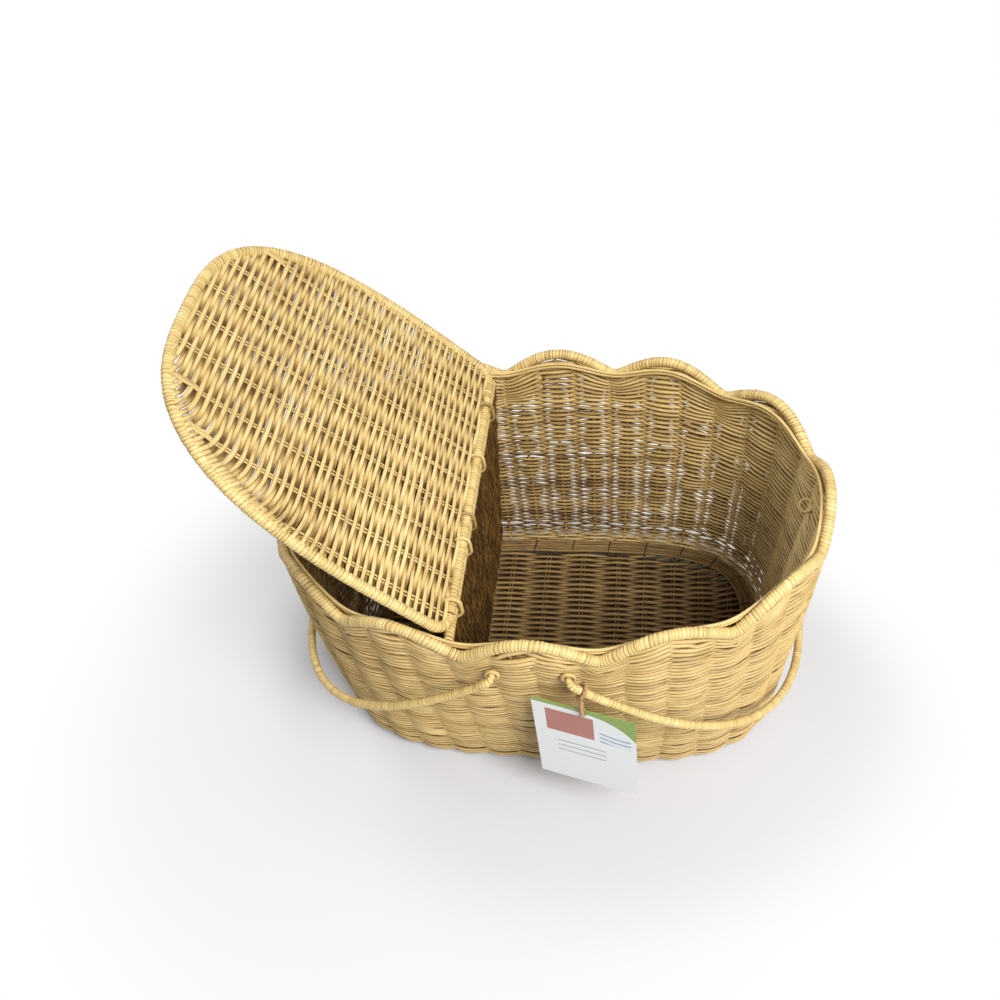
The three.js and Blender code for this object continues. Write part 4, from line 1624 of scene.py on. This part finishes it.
@dataclass
class HangTag:
    """The printed card on its twine."""

    width: float = 82.0
    height: float = 120.0
    thickness: float = 0.6
    yaw: float = -13.7
    hole_radius: float = 2.8
    hole_from_top: float = 6.0
    drop: float = 22.0
    bend: float = 4.0
    string_radius: float = 1.4
    loop_radius: float = 1.3
    arm_hang: float = 34.2
    card_gap: float = 2.5
    ply_lay: float = 5.0
    ply_offset: float = 0.6
    ply_share: float = 0.85

    def build(self) -> None:
        """Cuts the card and twists the twine."""
        self.cut_card()
        self.twist_twine()

    def cut_card(self) -> None:
        """Cuts the flat card with its hole, and maps its print over it."""
        low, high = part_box("tag_card")
        half = Vector((self.width, 0.0, self.height)) * MM / 2
        hole = (0.0, 0.0, half.z - self.hole_from_top * MM)
        deselect()
        bpy.ops.mesh.primitive_cube_add(size=1.0, location=(0.0, 0.0, 0.0))
        card = bpy.context.object
        card.name = "tag_card_print"
        card.scale = (self.width * MM, self.thickness * MM, self.height * MM)
        settle(card)
        level = (math.pi / 2, 0.0, 0.0)
        bpy.ops.mesh.primitive_cylinder_add(
            vertices=24, radius=self.hole_radius * MM, depth=0.01, location=hole, rotation=level
        )
        punch = bpy.context.object
        cut = card.modifiers.new("punch", "BOOLEAN")
        cut.operation = "DIFFERENCE"
        cut.object = punch
        bpy.context.view_layer.objects.active = card
        bpy.ops.object.modifier_apply(modifier=cut.name)
        bpy.data.objects.remove(punch)
        layer = card.data.uv_layers.new(name="card")
        for loop in card.data.loops:
            point = card.data.vertices[loop.vertex_index].co
            layer.uv[loop.index].vector = (point.x / (2 * half.x) + 0.5, point.z / (2 * half.z) + 0.5)
        turn = Matrix.Rotation(math.radians(self.yaw), 4, "Z")
        card.matrix_world = Matrix.Translation((low + high) / 2) @ turn
        settle(card)
        dress(card, CARD, Body.TAG, "tag_card")

    def twist_twine(self) -> None:
        """Twists the string and its loop."""
        rng = np.random.default_rng(SEED + 30)
        low, high = drawn_box("tag_string")
        front, through, bottom = low[1] + self.string_radius, high[1], high[2] - self.drop
        run = [(front, high[2]), (front, high[2] - self.drop / 2), (front, bottom + self.bend / 2)]
        run += [(front + self.card_gap, bottom), (through, bottom)]
        points = np.array([((low[0] + high[0]) / 2, y, z) for y, z in run])
        string = StrandMesh("tag_twine", rng, 6)
        self.lay(string, spaced(points, 60), RIGHT, self.string_radius, closed=False)
        dress(string.build(), TWINE, Body.TAG, "tag_string")
        low, high = drawn_box("tag_loop")
        hang = math.radians(self.arm_hang)
        axis = np.array([math.cos(hang), 0.0, -math.sin(hang)])
        radius = (high - low)[1] / 2 - self.loop_radius
        line = circle((low + high) / 2, radius, BACK, np.cross(axis, BACK), 60)
        loop = StrandMesh("tag_twine_loop", rng, 6)
        self.lay(loop, line, axis, self.loop_radius, closed=True)
        dress(loop.build(), TWINE, Body.RIGHT_HANDLE, "tag_loop")

    def lay(
        self, mesh: StrandMesh, line: np.ndarray, normal: np.ndarray, radius: float, closed: bool
    ) -> None:
        """Lays two plies round a line.

        Args:
            mesh: Where the plies go.
            line: Middle line of the twine.
            normal: Direction square to the line all along.
            radius: Radius of the twine.
            closed: Whether it is a ring.
        """
        on = line[:1] if closed else line[-1:] * 2 - line[-2:-1]
        path = np.concatenate([line, on])
        length = walked(path if closed else line)
        turns = max(round(length[-1] / (self.ply_lay * radius)), 1)
        share = length[: len(line)] / length[-1]
        side, lift = beside(np.diff(path, axis=0), normal)
        for ply in range(2):
            offset = self.ply_offset * radius * wheel(FULL_TURN * (turns * share + ply / 2), side, lift)
            mesh.add(line + offset, normal, self.ply_share * radius, 0.5, closed=closed)


# Studio


@dataclass
class Studio:
    """The pale floor, the soft light and the camera. Its places are in metres, but for the eye."""

    eye: Triple = (93.9, -550.2, 854.4)
    azimuth: float = 13.73
    elevation: float = 48.5
    roll: float = -9.64
    lens: float = 36.73
    shift: Pair = (0.0022, -0.0018)
    key: Triple = (0.84, -0.92, 1.6)
    key_power: float = 50.0
    fill: Triple = (-1.1, 0.9, 1.3)
    fill_power: float = 14.0
    aim: Triple = (0.0, 0.0, 0.12)
    sky: float = 0.26
    white_middle: Triple = (-0.12, -0.06, 0.0)
    white_reach: Pair = (0.2, 0.42)
    white_least: float = 0.45
    shadow: Pair = (0.21, 0.145)
    shadow_middle: Triple = (0.05, -0.42, 0.0)
    shadow_reach: Pair = (1.1, 1.75)
    foot: Pair = (0.186, 0.1165)
    foot_shade_reach: Pair = (0.94, 1.1)
    ground: Triple = (204, 204, 207)
    # Painted shade: the floor's colour under the basket's foot.
    under: Triple = (60, 52, 42)

    def build(self) -> None:
        """Sets the floor, the lights and the camera."""
        self.lay_floor()
        self.light("key_lamp", self.key, 0.8, self.key_power)
        self.light("fill_lamp", self.fill, 1.0, self.fill_power)
        self.set_sky()
        self.set_camera()
        bpy.context.scene.view_settings.view_transform = "Standard"

    def lay_floor(self) -> None:
        """Lays the pale floor: it keeps the basket's shadow, and fades into white around it. Under the
        basket's foot it is painted dark, painted shade that shows through the basket's gaps.
        """
        deselect()
        bpy.ops.mesh.primitive_plane_add(size=8.0, location=(0.0, 0.0, 0.0))
        floor = bpy.context.object
        floor.name = "studio_floor"
        recipe = Recipe("studio_floor")
        camera = recipe.add("LightPath").outputs["Is Camera Ray"]
        place = recipe.add("TexCoord").outputs["Object"]
        shadow, foot = (
            recipe.add("Mapping", {"Vector": place, "Scale": (1 / half[0], 1 / half[1], 0.0)}).outputs[0]
            for half in (self.shadow, self.foot)
        )
        away = recipe.vector("DISTANCE", place, self.white_middle)
        fade = recipe.remap(away, self.white_reach, (self.white_least, 1.0), "SMOOTHSTEP")
        beyond = recipe.vector("DISTANCE", shadow, self.shadow_middle)
        fade = recipe.math("MULTIPLY", fade, recipe.remap(beyond, self.shadow_reach, kind="SMOOTHSTEP"))
        reach = recipe.vector("LENGTH", recipe.vector("MULTIPLY", foot, foot))
        # Painted shade: the floor turns dark within the foot's outline, where the basket hides it.
        colour = recipe.mix(recipe.remap(reach, self.foot_shade_reach), paint(self.under), paint(self.ground))
        diffuse = recipe.add("BsdfDiffuse", {"Color": colour})
        white = recipe.add("Emission", {"Color": (1.0, 1.0, 1.0, 1.0), "Strength": 1.0})
        share = recipe.math("MULTIPLY", camera, fade)
        shown = recipe.add("MixShader", {0: share, 1: diffuse.outputs[0], 2: white.outputs[0]})
        recipe.tree.links.new(shown.outputs[0], recipe.output.inputs[0])
        floor.data.materials.append(recipe.material)

    def light(self, name: str, place: Triple, size: float, power: float) -> None:
        """Hangs one soft lamp that faces the basket.

        Args:
            name: The lamp's name.
            place: Where it hangs.
            size: Width of its square face, in metres.
            power: Its power in watts.
        """
        lamp = bpy.data.lights.new(name, "AREA")
        lamp.size, lamp.energy = size, power
        holder = bpy.data.objects.new(name, lamp)
        holder.location = place
        holder.rotation_euler = (Vector(self.aim) - Vector(place)).to_track_quat("-Z", "Y").to_euler()
        bpy.context.scene.collection.objects.link(holder)

    def set_sky(self) -> None:
        """Sets a soft even sky that shows as white."""
        world = bpy.data.worlds.new("studio_sky")
        world.use_nodes = True
        bpy.context.scene.world = world
        tree = world.node_tree
        tree.nodes.clear()
        kinds = ("LightPath", "Mix", "Background", "OutputWorld")
        path, strength, background, output = (tree.nodes.new(f"ShaderNode{kind}") for kind in kinds)
        strength.data_type = "FLOAT"
        strength.inputs[2].default_value = self.sky
        strength.inputs[3].default_value = 1.0
        background.inputs["Color"].default_value = (1.0, 1.0, 1.0, 1.0)
        tree.links.new(path.outputs["Is Camera Ray"], strength.inputs[0])
        tree.links.new(strength.outputs[0], background.inputs["Strength"])
        tree.links.new(background.outputs[0], output.inputs[0])

    def set_camera(self) -> None:
        """Sets the camera where the photograph was taken from."""
        angles = (self.azimuth, self.elevation, self.roll)
        azimuth, elevation, roll = (math.radians(value) for value in angles)
        level = math.cos(elevation)
        back = Vector((math.sin(azimuth) * level, -math.cos(azimuth) * level, math.sin(elevation)))
        right = Vector(UP).cross(back).normalized()
        data = bpy.data.cameras.new("camera")
        data.lens, data.sensor_width, data.clip_start = self.lens, 36.0, 0.01
        data.shift_x, data.shift_y = self.shift
        camera = bpy.data.objects.new("camera", data)
        bpy.context.scene.collection.objects.link(camera)
        turn = Matrix((right, back.cross(right), back)).transposed() @ Matrix.Rotation(roll, 3, "Z")
        camera.matrix_world = Matrix.Translation(Vector(self.eye) * MM) @ turn.to_4x4()
        bpy.context.scene.camera = camera


def main() -> None:
    """Builds the basket piece by piece."""
    logging.basicConfig(level=logging.INFO, format="%(message)s")
    form = BasketForm()
    on_form = [part(form) for part in (WovenWall, Rim, FootBorder, Floor, Divider)]
    parts = [*on_form, HingeLoops(), Lid(), Handle(-1, 29.6), Handle(1, 34.2), EndRing(), HangTag()]
    for part in (Studio(), *parts):
        part.build()


if __name__ == "__main__":
    main()
